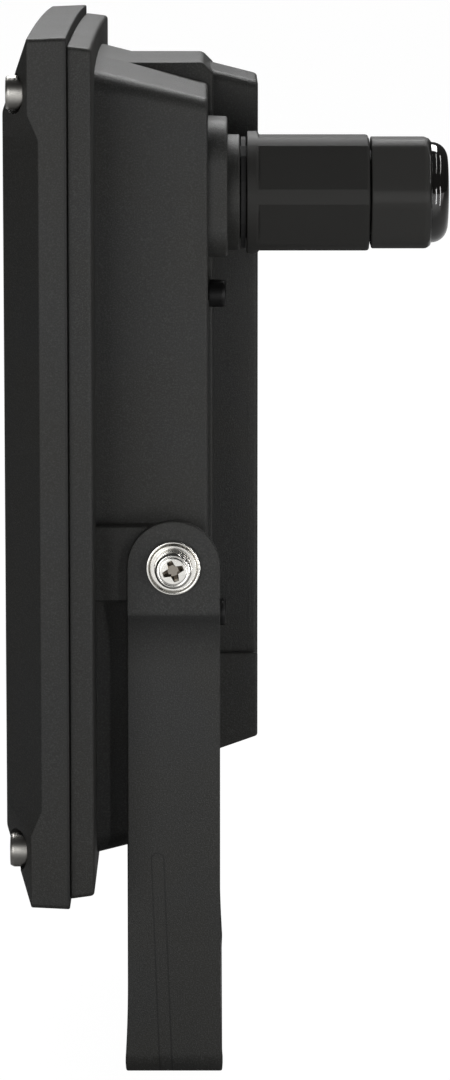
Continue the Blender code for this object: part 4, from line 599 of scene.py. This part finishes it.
# The two seals' grooves: outer and inner outline, middle, bottom and top
GROOVES = (
    ((0.1774, 0.2159, 0.0215), (0.1714, 0.2099, 0.0185), 0.0, 0.0245, FRONT_CUT),
    ((0.0384, 0.1434, 0.0057), (0.0340, 0.1390, 0.0035), WINDOW_MIDDLE, -0.0207, -0.0182))
DRILLINGS = (
    (BEZEL_SCREW_PLACES, THREAD_RADIUS, 0.0212, FRONT_CUT),
    (REAR_SCREW_PLACES, 0.0023, -0.011, 0.0243),
    (COVER_SCREW_PLACES, 0.0023, -0.0207, -0.0134),
    ((GLAND_PLACE,), 0.0126, -0.0186, 0.0))

cast_finish = powder_coat("charcoal_casting", (0.0235, 0.0239, 0.0230), 0.00038, 0.52)
# Painted shade: the coat darkens towards black within about half a millimetre of the parting line
# between bezel and flange, where the gap is in shade.
joint = abs(cast_finish.axis("Z") - PARTING_LINE)
cast_finish.overlay(cast_finish.ramp(joint * IN_MM, (0.30, 0.5), (0.65, 0.0)),
                    (0.008, 0.008, 0.008))


def sideways(name, outline, start, end):
    """A flat shape drawn in z and y, extruded along x."""
    made = prism(name, outline, start, end)
    made.data.transform(Matrix.Rotation(math.radians(90), 4, "Y"))
    return made


def frame_ring(size, z, inset=0.0, least=0.0004):
    """A ring of the flange or the bezel, whose top and bottom are bowed."""
    width, height = size
    return level(rounded_outline(width - 2 * inset, height - 2 * inset,
                                 max(FRONT_CORNER - inset, least), FRONT_CROWN), z)


def body_ring(z, side_wall=0.0, end_wall=0.0, crown=BODY_CROWN):
    """A ring of the body at a depth, or of the cavity inside its walls."""
    share = (FLANGE_BACK - z) / BODY_DEPTH
    corner = max(BODY_CORNER - BODY_CORNER_DRAFT * share - side_wall, 0.001)
    return level(rounded_outline(BODY_WIDTH - BODY_SIDE_DRAFT * share - 2 * side_wall,
                                 BODY_HEIGHT - BODY_END_DRAFT * share - 2 * end_wall,
                                 corner, crown, -BODY_SINK), z)


def box_ring(z, width=BOX_WIDTH, top=BOX_TOP, bottom=BOX_BOTTOM, inset=0.0, flat_top=False,
             corner=0.003):
    """A ring of the driver box at a depth."""
    depth = BODY_BACK - z
    high = top - inset - (0 if flat_top else depth * BOX_TOP_SLOPE)
    low = bottom + inset + depth * BOX_BOTTOM_SLOPE
    wide = width - 2 * inset - 2 * depth * BOX_SIDE_SLOPE
    outline = rounded_outline(wide, high - low, corner - inset * 0.4, 0.0, (high + low) / 2)
    return level(outline, z)


def boss_ring(extra, z):
    """A ring of the gland boss, with larger corners above than below."""
    points = []
    for turn, (side_x, reach_y, radius) in enumerate(BOSS_CORNERS):
        middle_x = GLAND_PLACE[0] + side_x * (BOSS_HALF_WIDTH - radius)
        middle_y = GLAND_PLACE[1] + reach_y - math.copysign(radius, reach_y)
        for step in range(9):
            angle = math.radians(90) * (turn + step / 8)
            points.append((middle_x + (radius + extra) * math.cos(angle),
                           middle_y + (radius + extra) * math.sin(angle)))
    return level(points, z)


def rear_forms():
    """The ridge with its panel, the driver box with its foot, and the gland boss."""
    back = -PANEL_BACK
    ridge = sideways("ridge", [
        (-RIDGE_FRONT, RIDGE_ROOT), (-RIDGE_FRONT, RIDGE_TOP), (back - RIDGE_CHAMFER, RIDGE_TOP),
        (back, RIDGE_SHOULDER), (back, PANEL_END), (RIDGE_INSIDE, PANEL_END),
        (RIDGE_INSIDE, RIDGE_ROOT)], -RIDGE_HALF_WIDTH, RIDGE_HALF_WIDTH)
    settle(ridge, [rounding(RIDGE_EDGE)])
    box = formed("box", [box_ring(BODY_BACK + OVERRUN), box_ring(BOX_FACE)])
    foot = formed("foot", [
        box_ring(BODY_BACK + OVERRUN, *FOOT_SIZE, 0, True, 0.0005),
        box_ring(COVER_BACK, *FOOT_SIZE, 0, True, 0.0005),
        box_ring(COVER_BACK, *FOOT_SIZE, 0.002, True, 0.0011)], [0, 0.0008, 0])
    room = formed("room", [box_ring(BOX_FACE, ROOM_WIDTH, bottom=ROOM_BOTTOM),
                           box_ring(COVER_BACK - OVERRUN, ROOM_WIDTH, bottom=ROOM_BOTTOM)])
    return [(ridge, "UNION"), (box, "UNION"), (foot, "UNION"), (room, "DIFFERENCE")]


def side_lugs():
    """The lugs that reach out to the bracket's ears, round behind and straight to the flange."""
    outline = [(-LUG_FRONT, -LUG_RADIUS)]
    for step in range(25):
        angle = math.radians(180) * step / 24 - math.radians(90)
        outline.append((LUG_RADIUS * math.cos(angle), LUG_RADIUS * math.sin(angle)))
    outline.append((-LUG_FRONT, LUG_RADIUS))
    lugs = []
    for side in (1, -1):
        lug = sideways("lug", outline, side * LUG_ROOT, side * LUG_FACE)
        settle(lug, [rounding(LUG_EDGE, math.radians(60))])
        lug.location = LUG_PLACE
        lugs.append((lug, "UNION"))
    return lugs


def machining():
    """What is cast or cut inside: cavity, recess, window, grooves, columns and holes."""
    cavity = formed("cavity", [body_ring(HOUSING_FRONT + OVERRUN, *WALLS, 0),
                               body_ring(BODY_FLOOR, *WALLS, 0)])
    recess = prism("recess", rounded_outline(*RECESS_SIZE), RECESS_FLOOR, FRONT_CUT)
    collar = rods("collar", (GLAND_PLACE,), COLLAR_RADIUS, COLLAR_BACK, COLLAR_FRONT, 64)
    settle(collar, [rounding(COLLAR_EDGE)])
    window = prism("window", rounded_outline(*WINDOW_SIZE, 0.0, WINDOW_MIDDLE),
                   BOX_FACE - OVERRUN, BODY_FLOOR + OVERRUN)
    tools = [(collar, "UNION"), (cavity, "DIFFERENCE"), (recess, "DIFFERENCE"),
             (window, "DIFFERENCE")]
    for outer, inner, middle, start, end in GROOVES:
        groove = prism("groove", rounded_outline(*outer, 0.0, middle), start, end)
        island = prism("island", rounded_outline(*inner, 0.0, middle), start - OVERRUN,
                       end + OVERRUN)
        settle(groove, tools=[(island, "DIFFERENCE")])
        tools.append((groove, "DIFFERENCE"))
    for name, places, radius, top in (
            ("columns", REAR_SCREW_PLACES, COLUMN_RADIUS, RECESS_FLOOR),
            ("earth", (EARTH_PLACE,), EARTH_BOSS_RADIUS, EARTH_BOSS_TOP)):
        tools.append((rods(name, places, radius, BODY_FLOOR - OVERRUN, top), "UNION"))
    for drilling in DRILLINGS:
        tools.append((rods("drill", *drilling), "DIFFERENCE"))
    for side in (1, -1):
        drill = rods("drill", ((0, 0),), THREAD_RADIUS, 0, PIVOT_DRILL_DEPTH)
        drill.rotation_euler = (0, side * math.radians(90), 0)
        drill.location = (side * PIVOT_DRILL_START, -HEAD_RISE, 0)
        tools.append((drill, "DIFFERENCE"))
    return tools


def make_housing():
    """Join the casting's rounded forms, then machine it."""
    housing = formed("housing_casting", [
        frame_ring(FLANGE_SIZE, HOUSING_FRONT, 0.002), frame_ring(FLANGE_SIZE, HOUSING_FRONT),
        frame_ring(FLANGE_BACK_SIZE, FLANGE_BACK),
        frame_ring(FLANGE_BACK_SIZE, FLANGE_BACK, 0.0022)], [0, 0.0005, 0.0012, 0])
    body = formed("body", [body_ring(FLANGE_BACK + OVERRUN), body_ring(BODY_BACK),
                           body_ring(BODY_BACK, 0.003, 0.003)], [0, 0.0010, 0])
    boss = formed("boss", [boss_ring(0.0003, BODY_BACK + OVERRUN), boss_ring(0, BOSS_BACK),
                           boss_ring(-0.003, BOSS_BACK)], [0, 0.0007, 0])
    settle(housing, tools=[(body, "UNION"), *rear_forms(), *side_lugs(), (boss, "UNION")])
    settle(housing, tools=machining())
    dress(housing, cast_finish, "head", ["housing"], HEAD_PLACE, FORWARD)


make_housing()

# Heat spreader, LED board and lens sheet: a rolled aluminium plate, a white coated board with
# twenty yellow chips, and one clear moulded sheet with a lens over each chip, screwed together.
LED_COLUMNS = 4
LED_ROWS = 5
LED_PITCH_X = 0.030
LED_PITCH_Y = 0.029
LED_PLACES = [((column - (LED_COLUMNS - 1) / 2) * LED_PITCH_X,
               (row - (LED_ROWS - 1) / 2) * LED_PITCH_Y)
              for row in range(LED_ROWS) for column in range(LED_COLUMNS)]
CHIP_SIZE = 0.0027
CHIP_FACE_SIZE = 0.0024
CHIP_CORNER = 0.0004
CHIP_BASE = 0.0291
CHIP_FACE = 0.0295
LENS_FRONT = 0.0313
LENS_SHEET = (0.1335, 0.1485, 0.003)
LENS_SHEET_LEVELS = (0.0298, 0.0299, 0.0312, LENS_FRONT)
LENS_RADIUS = 0.0106
LENS_HEIGHT = 0.0039
LENS_SINK = 0.0004
POST_PLACES = [(x, y) for y in (0.069, -0.069) for x in (0.0615, -0.0615)]
POST_RADIUS = 0.0036
POST_LEVELS = (0.0285, 0.0302)
POST_HOLE_RADIUS = 0.0018
POST_CUT = (0.027, 0.033)


def finish_node(name, finish):
    """Give a CAD piece that stays a better material."""
    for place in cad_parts[name].material_slots:
        place.material = finish.material


def rolled_metal(name, color, roughness):
    """Rolled sheet with fine lines along it."""
    finish = Finish(name, color, roughness, 1.0)
    stretched = finish.node("Mapping", {}, {"Vector": finish.place, "Scale": (1, 1, 40)})
    lines = finish.node("TexNoise", {}, {"Vector": stretched, "Scale": 60, "Detail": 3.0})
    finish.set("Roughness", roughness - 0.08 + 0.16 * lines)
    finish.relief(lines, 0.00002, 0.4)
    return finish


def moulded(name, color, roughness, grain=0.0008, **sockets):
    """Moulded plastic or rubber with a fine skin."""
    finish = Finish(name, color, roughness, **sockets)
    skin = finish.noise(grain)
    cloud = finish.noise(grain * 25)
    darker = tuple(channel * 0.8 for channel in color)
    finish.set("Base Color", finish.mix(cloud, darker, color))
    finish.set("Roughness", roughness - 0.05 + 0.1 * cloud)
    finish.relief(skin, grain * 0.04, 0.4)
    return finish


def make_board():
    """Finish the board with its copper tracks, and add the chips' yellow faces."""
    board = Finish("white_board_coat", (0.82, 0.82, 0.80), 0.4)
    height = abs(board.axis("Z") - HEAD_PLACE[2])
    from_rows = abs(height - LED_PITCH_Y) * abs(height - 2 * LED_PITCH_Y) * height * 1e6
    tracks = 1 - board.ramp(from_rows, (0.4, 1.0), (0.7, 0.0))
    board.set("Base Color", board.mix(tracks, (0.72, 0.71, 0.66), (0.83, 0.83, 0.81)))
    board.set("Roughness", 0.36 + 0.1 * board.noise(0.004))
    board.relief(tracks, 0.00004, 0.5)
    finish_node("led_board", board)
    chips = []
    for x, y in LED_PLACES:
        rings = [level(rounded_outline(size, size, CHIP_CORNER, steps=2), z)
                 for size, z in ((CHIP_SIZE, CHIP_BASE), (CHIP_FACE_SIZE, CHIP_FACE))]
        chips.append([[point + Vector((x, y, 0)) for point in ring] for ring in rings])
    faces = formed("led_faces", chips[0])
    for rings in chips[1:]:
        settle(faces, tools=[(formed("chip", rings), "UNION")])
    phosphor = moulded("yellow_phosphor", (0.85, 0.62, 0.10), 0.45, 0.0002)
    dress(faces, phosphor, "head", [], HEAD_PLACE, FORWARD)


def make_lens_sheet():
    """Mould the sheet with a lens over each chip, and a post for each screw."""
    sheet = formed("lens_sheet", [level(rounded_outline(*LENS_SHEET), z)
                                  for z in LENS_SHEET_LEVELS])
    tools = []
    for x, y in LED_PLACES:
        rings = []
        for step in range(7):
            angle = math.radians(90) * step / 6.5
            reach = LENS_RADIUS * math.cos(angle)
            z = LENS_FRONT - LENS_SINK + LENS_HEIGHT * math.sin(angle)
            rings.append([Vector((x + reach * math.cos(turn), y + reach * math.sin(turn), z))
                          for turn in (math.radians(12) * part for part in range(30))])
        tools.append((formed("lens", rings), "UNION"))
    tools.append((rods("posts", POST_PLACES, POST_RADIUS, *POST_LEVELS), "UNION"))
    tools.append((rods("post_holes", POST_PLACES, POST_HOLE_RADIUS, *POST_CUT), "DIFFERENCE"))
    settle(sheet, tools=tools)
    clear = Finish("clear_lens_sheet", (0.93, 0.95, 0.95), 0.06, IOR=1.49,
                   Transmission_Weight=0.95)
    ripple = clear.noise(0.006)
    clear.set("Roughness", 0.03 + 0.08 * ripple)
    clear.relief(ripple, 0.00002, 0.3)
    dress(sheet, clear, "head", ["lens_plate"], HEAD_PLACE, FORWARD)


finish_node("heat_spreader", rolled_metal("rolled_aluminium", (0.75, 0.76, 0.77), 0.35))
make_board()
make_lens_sheet()

# Rear screws and small screws: black cap screws go in from behind through columns.
# Stainless ones hold the lens sheet, the driver, the earth wire and the rear cover.
SEAT_GAP = 0.0003
REARWARD = (math.radians(-90), 0, 0)
REAR_SCREW_PROFILE = [
    (0.002, -0.035, 0), (0.002, 0, 0), (0.0037, 0, 0.0001), (0.0037, 0.0045, 0.0013),
    (0.0021, 0.0045, 0.0002), (0.0019, 0.0025, 0)]
# Directions round a hexagon, closer near its corners
ANGLES = [math.radians(60 * side + part) for side in range(6)
          for part in (-30, -26.5, -23, -15.5, -8, 0, 8, 15.5, 23, 26.5)]


def round_ring(radius, z):
    """A round ring of points about z."""
    return [Vector((radius * math.cos(turn), radius * math.sin(turn), z)) for turn in ANGLES]


def turned(name, profile, closed=False):
    """A lathe-turned piece: each row of its profile is a radius, a height and a rounding."""
    return formed(name, [round_ring(radius, z) for radius, z, _ in profile],
                  [ease for _, _, ease in profile], closed)


def bright_steel(name, color, roughness):
    """Turned stainless steel with faint lathe rings and small marks."""
    finish = Finish(name, color, roughness, 1.0)
    rings = finish.node("TexWave", {"wave_type": "RINGS", "rings_direction": "Z"},
                        {"Vector": finish.place, "Scale": 900, "Distortion": 1.5})
    marks = finish.noise(0.0012, 3.0)
    dull = tuple(channel * 0.88 for channel in color)
    finish.set("Base Color", finish.mix(finish.ramp(marks, (0.4, 0.0), (0.7, 1.0)), color, dull))
    finish.set("Roughness", roughness + 0.02 * rings + 0.02 * marks)
    finish.relief(marks, 0.000001, 0.05)
    return finish


stainless = bright_steel("bright_stainless", (0.80, 0.785, 0.745), 0.17)
black_steel = moulded("black_screw_coat", (0.008, 0.008, 0.008), 0.45, 0.0004,
                      Specular_IOR_Level=0.35)


def make_rear_screws():
    """Black cap screws with softly rounded heads."""
    for number, (x, y) in enumerate(REAR_SCREW_PLACES, 1):
        screw = turned("rear_screw_head", REAR_SCREW_PROFILE)
        spot = (x, -BODY_BACK + SEAT_GAP, HEAD_PLACE[2] + y)
        dress(screw, black_steel, "head", [f"rear_screw_{number}"], spot, REARWARD)


make_rear_screws()
finish_node("earth_screw", stainless)
for name, count in (("driver_screw", 2), ("lens_screw", 4), ("rear_cover_screw", 4)):
    for number in range(1, count + 1):
        finish_node(f"{name}_{number}", stainless)

# Driver, terminal block and leads: a light grey case through the rear window, a white plastic
# block on the rear wall, and insulated copper wires between them and the board.
finish_node("driver", moulded("grey_driver_case", (0.66, 0.67, 0.68), 0.42))
finish_node("terminal_block", moulded("white_terminal_plastic", (0.80, 0.80, 0.78), 0.45))
for name, color in (("live_lead", (0.09, 0.03, 0.012)), ("neutral_lead", (0.02, 0.07, 0.3)),
                    ("earth_lead", (0.08, 0.25, 0.03)), ("led_plus_lead", (0.35, 0.02, 0.02)),
                    ("led_minus_lead", (0.01, 0.01, 0.01))):
    finish_node(name, moulded(f"{name}_insulation", color, 0.4, 0.0004))

# Rear cover: a cast plate over the driver box, with a rim that drops into the window.
# Four countersunk stainless screws hold it on a rubber ring.
COVER_GAP = 0.00003
SPIGOT_SIZE = (0.0324, 0.1374, 0.003)
SPIGOT_BACK = -0.0205
SPIGOT_FRONT = -0.0187
COVER_HOLE_RADIUS = 0.0023
SINK_RADIUS = 0.0049
SINK_DEPTH = 0.0016
rubber = moulded("matt_black_rubber", (0.015, 0.015, 0.015), 0.78, 0.0005)


def make_rear_cover():
    """Form the plate, its rim and its countersunk holes."""
    front = BOX_FACE - COVER_GAP
    cover = formed("rear_cover_plate", [
        box_ring(front), box_ring(COVER_BACK), box_ring(COVER_BACK, inset=0.002)], [0, 0.0012, 0])
    spigot = prism("spigot", rounded_outline(*SPIGOT_SIZE, 0.0, WINDOW_MIDDLE), SPIGOT_BACK,
                   SPIGOT_FRONT)
    holes = rods("holes", COVER_SCREW_PLACES, COVER_HOLE_RADIUS, COVER_BACK - OVERRUN,
                 front + OVERRUN)
    sinks = rods("sinks", COVER_SCREW_PLACES, SINK_RADIUS, COVER_BACK - OVERRUN,
                 COVER_BACK + SINK_DEPTH, end_radius=COVER_HOLE_RADIUS)
    settle(cover, tools=[(spigot, "UNION"), (holes, "DIFFERENCE"), (sinks, "DIFFERENCE")])
    dress(cover, cast_finish, "head", ["rear_cover"], HEAD_PLACE, FORWARD)


make_rear_cover()
finish_node("rear_cover_gasket", rubber)

# Seal, glass and inner frame: a rubber ring in the flange, clear tempered glass on a rubber
# gasket behind the window, and a satin black frame round the lens sheet.
PANE_WIDTH = 0.167
PANE_HEIGHT = 0.179
PANE_CORNER = 0.004
PANE_BEVEL = 0.001
PANE_BACK = 0.0359
PANE_FRONT = 0.0399
for name in ("bezel_seal", "glass_gasket"):
    finish_node(name, rubber)
finish_node("inner_frame", moulded("satin_black_frame", (0.020, 0.020, 0.021), 0.4, 0.0012))


def make_glass():
    """A pane with ground edges."""
    pane = formed("window_pane", [
        level(rounded_outline(PANE_WIDTH - 2 * inset, PANE_HEIGHT - 2 * inset,
                              PANE_CORNER - inset), z)
        for z, inset in ((PANE_BACK, PANE_BEVEL), (PANE_BACK, 0), (PANE_FRONT, 0),
                         (PANE_FRONT, PANE_BEVEL))], [0, 0.0005, 0.0005, 0])
    clear = Finish("clear_tempered_glass", (0.95, 0.975, 0.965), 0.02, IOR=1.5,
                   Transmission_Weight=1.0)
    haze = clear.noise(0.05)
    clear.set("Roughness", 0.01 + 0.03 * haze)
    clear.relief(haze, 0.00002, 0.1)
    dress(pane, clear, "head", ["glass"], HEAD_PLACE, FORWARD)


make_glass()

# Bezel: the die-cast front frame, whose four faces slope to the window's rim.
# Its sides slope more steeply between the corners, and its coat is the housing's.
BEZEL_BACK = 0.0268
BEZEL_FRONT = 0.0437
BEZEL_SIZE = (0.200, 0.2265)
SHOULDER_SIZE = (0.1992, 0.2257)
SHOULDER_LEVEL = 0.0369
RIM_SIZE = (0.172, 0.1873)
SIDE_DIP = 0.0028
SIDE_DIP_END = 0.087
BEZEL_END = 0.0936
RIM_END = 0.0873
POCKET_SIZE = (0.168, 0.180, 0.0045)
BEZEL_WINDOW = (0.152, 0.164, 0.004)
BEZEL_WINDOW_FLARE = (0.1593, 0.1713, 0.004)
POCKET_CUT_START = 0.026
GLASS_SEAT = 0.0415
FACE_CUT = 0.0447
SCREW_POCKET_RADIUS = 0.0055
SCREW_POCKET_FLOOR = 0.0376
TOP_POINTS = 2 * (CORNER_STEPS + 1) + 2 * CROWN_STEPS - 1


def bezel_ring(size, z, inset, ends, dip=0.0):
    """A ring of the bezel; dip lowers its sides between the corners."""
    outline = frame_ring(size, z, inset, 0.0005)
    half = size[0] / 2 - inset
    reach = ((ends, 0), (SIDE_DIP_END, dip), (-SIDE_DIP_END, dip), (-ends, 0))
    left = [Vector((-half, y, z - drop)) for y, drop in reach]
    right = [Vector((half, -y, z - drop)) for y, drop in reach]
    return outline[:TOP_POINTS] + left + outline[TOP_POINTS:] + right


def make_bezel():
    """Form the sloping frame, then cut its window, glass pocket and screw pockets."""
    bezel = formed("bezel_casting", [
        bezel_ring(BEZEL_SIZE, BEZEL_BACK, 0.0015, BEZEL_END),
        bezel_ring(BEZEL_SIZE, BEZEL_BACK, 0, BEZEL_END),
        bezel_ring(SHOULDER_SIZE, SHOULDER_LEVEL, 0, BEZEL_END, SIDE_DIP),
        bezel_ring(RIM_SIZE, BEZEL_FRONT, 0, RIM_END),
        bezel_ring(RIM_SIZE, BEZEL_FRONT, 0.003, RIM_END)], [0, 0.0006, 0.0004, 0.0008, 0])
    pocket = prism("pocket", rounded_outline(*POCKET_SIZE), POCKET_CUT_START, GLASS_SEAT)
    window = formed("window", [level(rounded_outline(*BEZEL_WINDOW), GLASS_SEAT - OVERRUN),
                               level(rounded_outline(*BEZEL_WINDOW), GLASS_SEAT),
                               level(rounded_outline(*BEZEL_WINDOW_FLARE), FACE_CUT)])
    pockets = rods("pockets", BEZEL_SCREW_PLACES, SCREW_POCKET_RADIUS, SCREW_POCKET_FLOOR,
                   FACE_CUT, 48)
    holes = rods("holes", BEZEL_SCREW_PLACES, THREAD_RADIUS, POCKET_CUT_START,
                 SCREW_POCKET_FLOOR + OVERRUN)
    settle(bezel, tools=[(tool, "DIFFERENCE") for tool in (pocket, window, pockets, holes)])
    dress(bezel, cast_finish, "head", ["bezel"], HEAD_PLACE, FORWARD,
          math.radians(28))


make_bezel()

# Bezel screws: stainless socket heads with a knurled rim, one in each corner pocket.
# They clamp the bezel and its seal to the housing's flange.
KNURL_DEPTH = 0.00018
BEZEL_SCREW_SEAT = 0.0379
SOCKET_RADIUS = 0.00265
SOCKET_FLOOR = 0.0021
SOCKET_CUT = 0.0056
# Radius and height of each ring of the screw, and whether it is knurled
BEZEL_SCREW_RINGS = (
    (0.0025, -0.0163, 0), (0.0025, 0, 0), (0.0043, 0, 0), (0.0045, 0.0003, 1),
    (0.0045, 0.0036, 1), (0.0043, 0.0041, 0), (0.0040, 0.0046, 0), (0.0030, 0.0046, 0))

satin_steel = bright_steel("satin_stainless", (0.42, 0.41, 0.385), 0.34)
# Painted shade: more than 1.5 mm below the head the shank is darkened almost to black, as it sits
# in the shade of its hole.
shank_painted_shade = satin_steel.ramp(satin_steel.axis("Z") * 100 + 0.5, (0.20, 0.9), (0.35, 0.0))
satin_steel.overlay(shank_painted_shade, (0.01, 0.01, 0.01))


def make_bezel_screws():
    """Turn the head, roll its knurl and broach its hexagon socket."""
    for number, (x, y) in enumerate(BEZEL_SCREW_PLACES, 1):
        rings = []
        for radius, z, knurl in BEZEL_SCREW_RINGS:
            ring = []
            for step in range(72):
                turn = math.radians(5) * step
                reach = radius - KNURL_DEPTH * knurl * (step % 2)
                ring.append(Vector((math.cos(turn), math.sin(turn), 0)) * reach
                            + Vector((0, 0, z)))
            rings.append(ring)
        screw = formed("bezel_screw", rings)
        socket = rods("socket", ((0, 0),), SOCKET_RADIUS, SOCKET_FLOOR, SOCKET_CUT, 6)
        settle(screw, tools=[(socket, "DIFFERENCE")])
        spot = (x, -BEZEL_SCREW_SEAT, HEAD_PLACE[2] + y)
        dress(screw, satin_steel, "head", [f"bezel_screw_{number}"], spot, FORWARD,
              math.radians(40))


make_bezel_screws()

# Cable gland: a hexagonal body and cap nut of black nylon, a flat rubber washer under its
# flange, and inside a lock nut, a rubber seal and a slotted clamp. The cap turns on the body.
nylon = moulded("black_nylon", (0.0325, 0.0320, 0.0302), 0.56, 0.0012, Specular_IOR_Level=0.25)
dome_nylon = moulded("black_nylon_dome", (0.0420, 0.0414, 0.0390), 0.2, 0.0016,
                     Specular_IOR_Level=0.3, Coat_Roughness=0.04, Coat_IOR=1.6)
polish = dome_nylon.ramp(dome_nylon.axis("Z") * 10, (0.672, 0.0), (0.684, 1.0))
dome_nylon.overlay(polish, (0.012, 0.0118, 0.011))
dome_nylon.set("Roughness", 0.55 - 0.45 * polish)
dome_nylon.set("Coat Weight", polish)
GLAND_SPOT = (GLAND_PLACE[0], 0, HEAD_PLACE[2] + GLAND_PLACE[1])
HEXAGON = (0.030, 0.0163)
CAP_FLATS = 0.0289
CAP_CORNER = 0.0158
CAP_START = 0.0524
CAP_SHOULDER = 0.0662
CAP_SHOULDER_RISE = 0.0022
DOME_RADIUS = 0.0134
DOME_START = 0.0685
DOME_RISE = 0.0044
DOME_CURL = 0.0045
# Size, height and rounding of each ring, down the outside and back up the bore
GLAND_BODY_ROWS = [
    (0.0123, -0.0004, 0.0004), (0.0123, 0.0194, 0), (0.0163, 0.0194, 0.0005),
    (0.0163, 0.0224, 0.0008), (HEXAGON, 0.0227, 0), (HEXAGON, 0.0519, 0.0010),
    (0.0113, 0.0519, 0), (0.0113, 0.0609, 0.0004), (0.0088, 0.0609, 0.0003),
    (0.0088, 0.0449, 0), (0.0070, 0.0449, 0), (0.0070, -0.0004, 0)]
CAP_BORE_ROWS = [
    (0.0084, 0.0729, 0.0003), (0.0080, 0.0715, 0), (0.0103, 0.0673, 0), (0.0104, 0.0610, 0),
    (0.0116, 0.0608, 0), (0.0116, CAP_START, 0)]


def nut_ring(flats, corner, z):
    """A hexagon with trimmed corners, flats up and down."""
    ring = []
    for turn in ANGLES:
        side = (turn + math.radians(30)) % math.radians(60) - math.radians(30)
        reach = min(flats / 2 / math.cos(side), corner)
        ring.append(Vector((reach * math.sin(turn), reach * math.cos(turn), z)))
    return ring


def gland_rings(rows):
    """Rings and roundings from rows of a size, a height and a rounding."""
    rings = []
    for size, z, _ in rows:
        if isinstance(size, tuple):
            rings.append(nut_ring(*size, z))
        else:
            rings.append([Vector((size * math.sin(turn), size * math.cos(turn), z))
                          for turn in ANGLES])
    return rings, [ease for _, _, ease in rows]


def make_gland():
    """Form the body and the cap nut, each as one ring of outer and inner walls."""
    body = formed("gland_body_shell", *gland_rings(GLAND_BODY_ROWS), closed=True)
    dress(body, nylon, "head", ["gland_body"], GLAND_SPOT, REARWARD, math.radians(18))
    rows = [((CAP_FLATS, CAP_CORNER), CAP_START, 0.0005)]
    for step in range(6):
        angle = math.radians(18) * step
        keep, rise = math.cos(angle), math.sin(angle)
        rows.append(((2 * DOME_RADIUS + (CAP_FLATS - 2 * DOME_RADIUS) * keep,
                      DOME_RADIUS + (CAP_CORNER - DOME_RADIUS) * keep),
                     CAP_SHOULDER + CAP_SHOULDER_RISE * rise, 0))
    for step in range(9):
        angle = math.radians(11.25) * step
        rows.append((DOME_RADIUS - DOME_CURL * (1 - math.cos(angle)),
                     DOME_START + DOME_RISE * math.sin(angle), 0))
    rows += CAP_BORE_ROWS
    cap = formed("gland_cap_nut", *gland_rings(rows), closed=True)
    dress(cap, dome_nylon, "gland_cap", ["gland_cap"], GLAND_SPOT, REARWARD,
          math.radians(22))


make_gland()
for name in ("gland_o_ring", "gland_seal"):
    finish_node(name, rubber)
for name in ("gland_lock_nut", "gland_clamp"):
    finish_node(name, nylon)

# Pivot fasteners: at each ear a stainless flat washer, a split washer and a pan head bolt
# with a cross recess. They clamp the head between the ears.
WASHER_PROFILE = [
    (0.0072, 0.0780, 0.0005), (0.0072, 0.0768, 0.0003), (0.0028, 0.0768, 0),
    (0.0028, 0.07765, 0), (0.0061, 0.07765, 0.0003), (0.0065, 0.0780, 0.0003)]
SPLIT_WASHER_PROFILE = [
    (0.0050, 0.0795, 0.0003), (0.0050, 0.0783, 0.0003), (0.0028, 0.0783, 0),
    (0.0028, 0.0795, 0.0002)]
BOLT_PROFILE = [
    (0.0025, 0.0660, 0.0004), (0.0025, 0.0798, 0), (0.0047, 0.0798, 0.0003),
    (0.0048, 0.0826, 0.0006), (0.0041, 0.0831, 0.0004), (0.0037, 0.0829, 0.0002),
    (0.0035, 0.0831, 0.0003), (0.0006, 0.0832, 0)]
# Height of each ring of the cross recess, then its wings' length and half width
CROSS_ROWS = ((0.0844, 0.0036, 0.0009), (0.0829, 0.0027, 0.00062), (0.0814, 0.0014, 0.0005))
CROSS_FILLET = 1.6
RECESS_TOP = 0.082
SLIT_SIZE = (0.008, 0.0008, 0.0001)
SLIT_MIDDLE = 0.005
SLIT_ANGLE = math.radians(150)
SLIT_LEVELS = (0.077, 0.081)

recessed = bright_steel("recessed_stainless", (0.80, 0.785, 0.745), 0.17)
# Down inside the cross recess, the steel is tinted a dull dark brown.
from_axis = recessed.distance(recessed.axis("X"), recessed.axis("Y"))
inside = recessed.ramp(from_axis * 100, (0.27, 1.0), (0.31, 0.0))
sunk = recessed.ramp((recessed.axis("Z") - RECESS_TOP) * IN_MM, (0.3, 1.0), (1.0, 0.0))
recessed.overlay(inside * sunk * 0.85, (0.17, 0.145, 0.115))


def cross_recess(spin):
    """The punch that presses the cross recess, tapered towards its tip."""
    rings = []
    for z, length, width in CROSS_ROWS:
        middle = Vector((0, 0, z))
        ring = []
        for quarter in range(4):
            angle = math.radians(90 * quarter + spin)
            along = Vector((math.cos(angle), math.sin(angle), 0))
            aside = Vector((-math.sin(angle), math.cos(angle), 0))
            ring += [middle + along * length - aside * width,
                     middle + along * length + aside * width,
                     middle + along * width * CROSS_FILLET + aside * width * CROSS_FILLET]
        rings.append(ring)
    return formed("cross", rings)


def make_pivot_fasteners():
    """Turn and slit the washers, turn the bolt and press its cross recess."""
    for name, side, spin in (("right", 1, 20), ("left", -1, -35)):
        turn = (0, side * math.radians(90), 0)
        spot = (0, 0, TILT_HEIGHT)
        washer = turned("pivot_flat_washer", WASHER_PROFILE, closed=True)
        dress(washer, stainless, "head", [f"pivot_washer_{name}"], spot, turn)
        spring = turned("pivot_split_washer", SPLIT_WASHER_PROFILE, closed=True)
        slit = prism("slit", rounded_outline(*SLIT_SIZE), *SLIT_LEVELS)
        slit.data.transform(Matrix.Translation((-SLIT_MIDDLE, 0, 0)))
        slit.data.transform(Matrix.Rotation(SLIT_ANGLE, 4, "Z"))
        settle(spring, tools=[(slit, "DIFFERENCE")])
        dress(spring, stainless, "head", [f"pivot_spring_washer_{name}"], spot, turn)
        bolt = turned("pivot_bolt", BOLT_PROFILE)
        settle(bolt, tools=[(cross_recess(spin), "DIFFERENCE")])
        dress(bolt, recessed, "head", [f"pivot_bolt_{name}"], spot, turn)


make_pivot_fasteners()
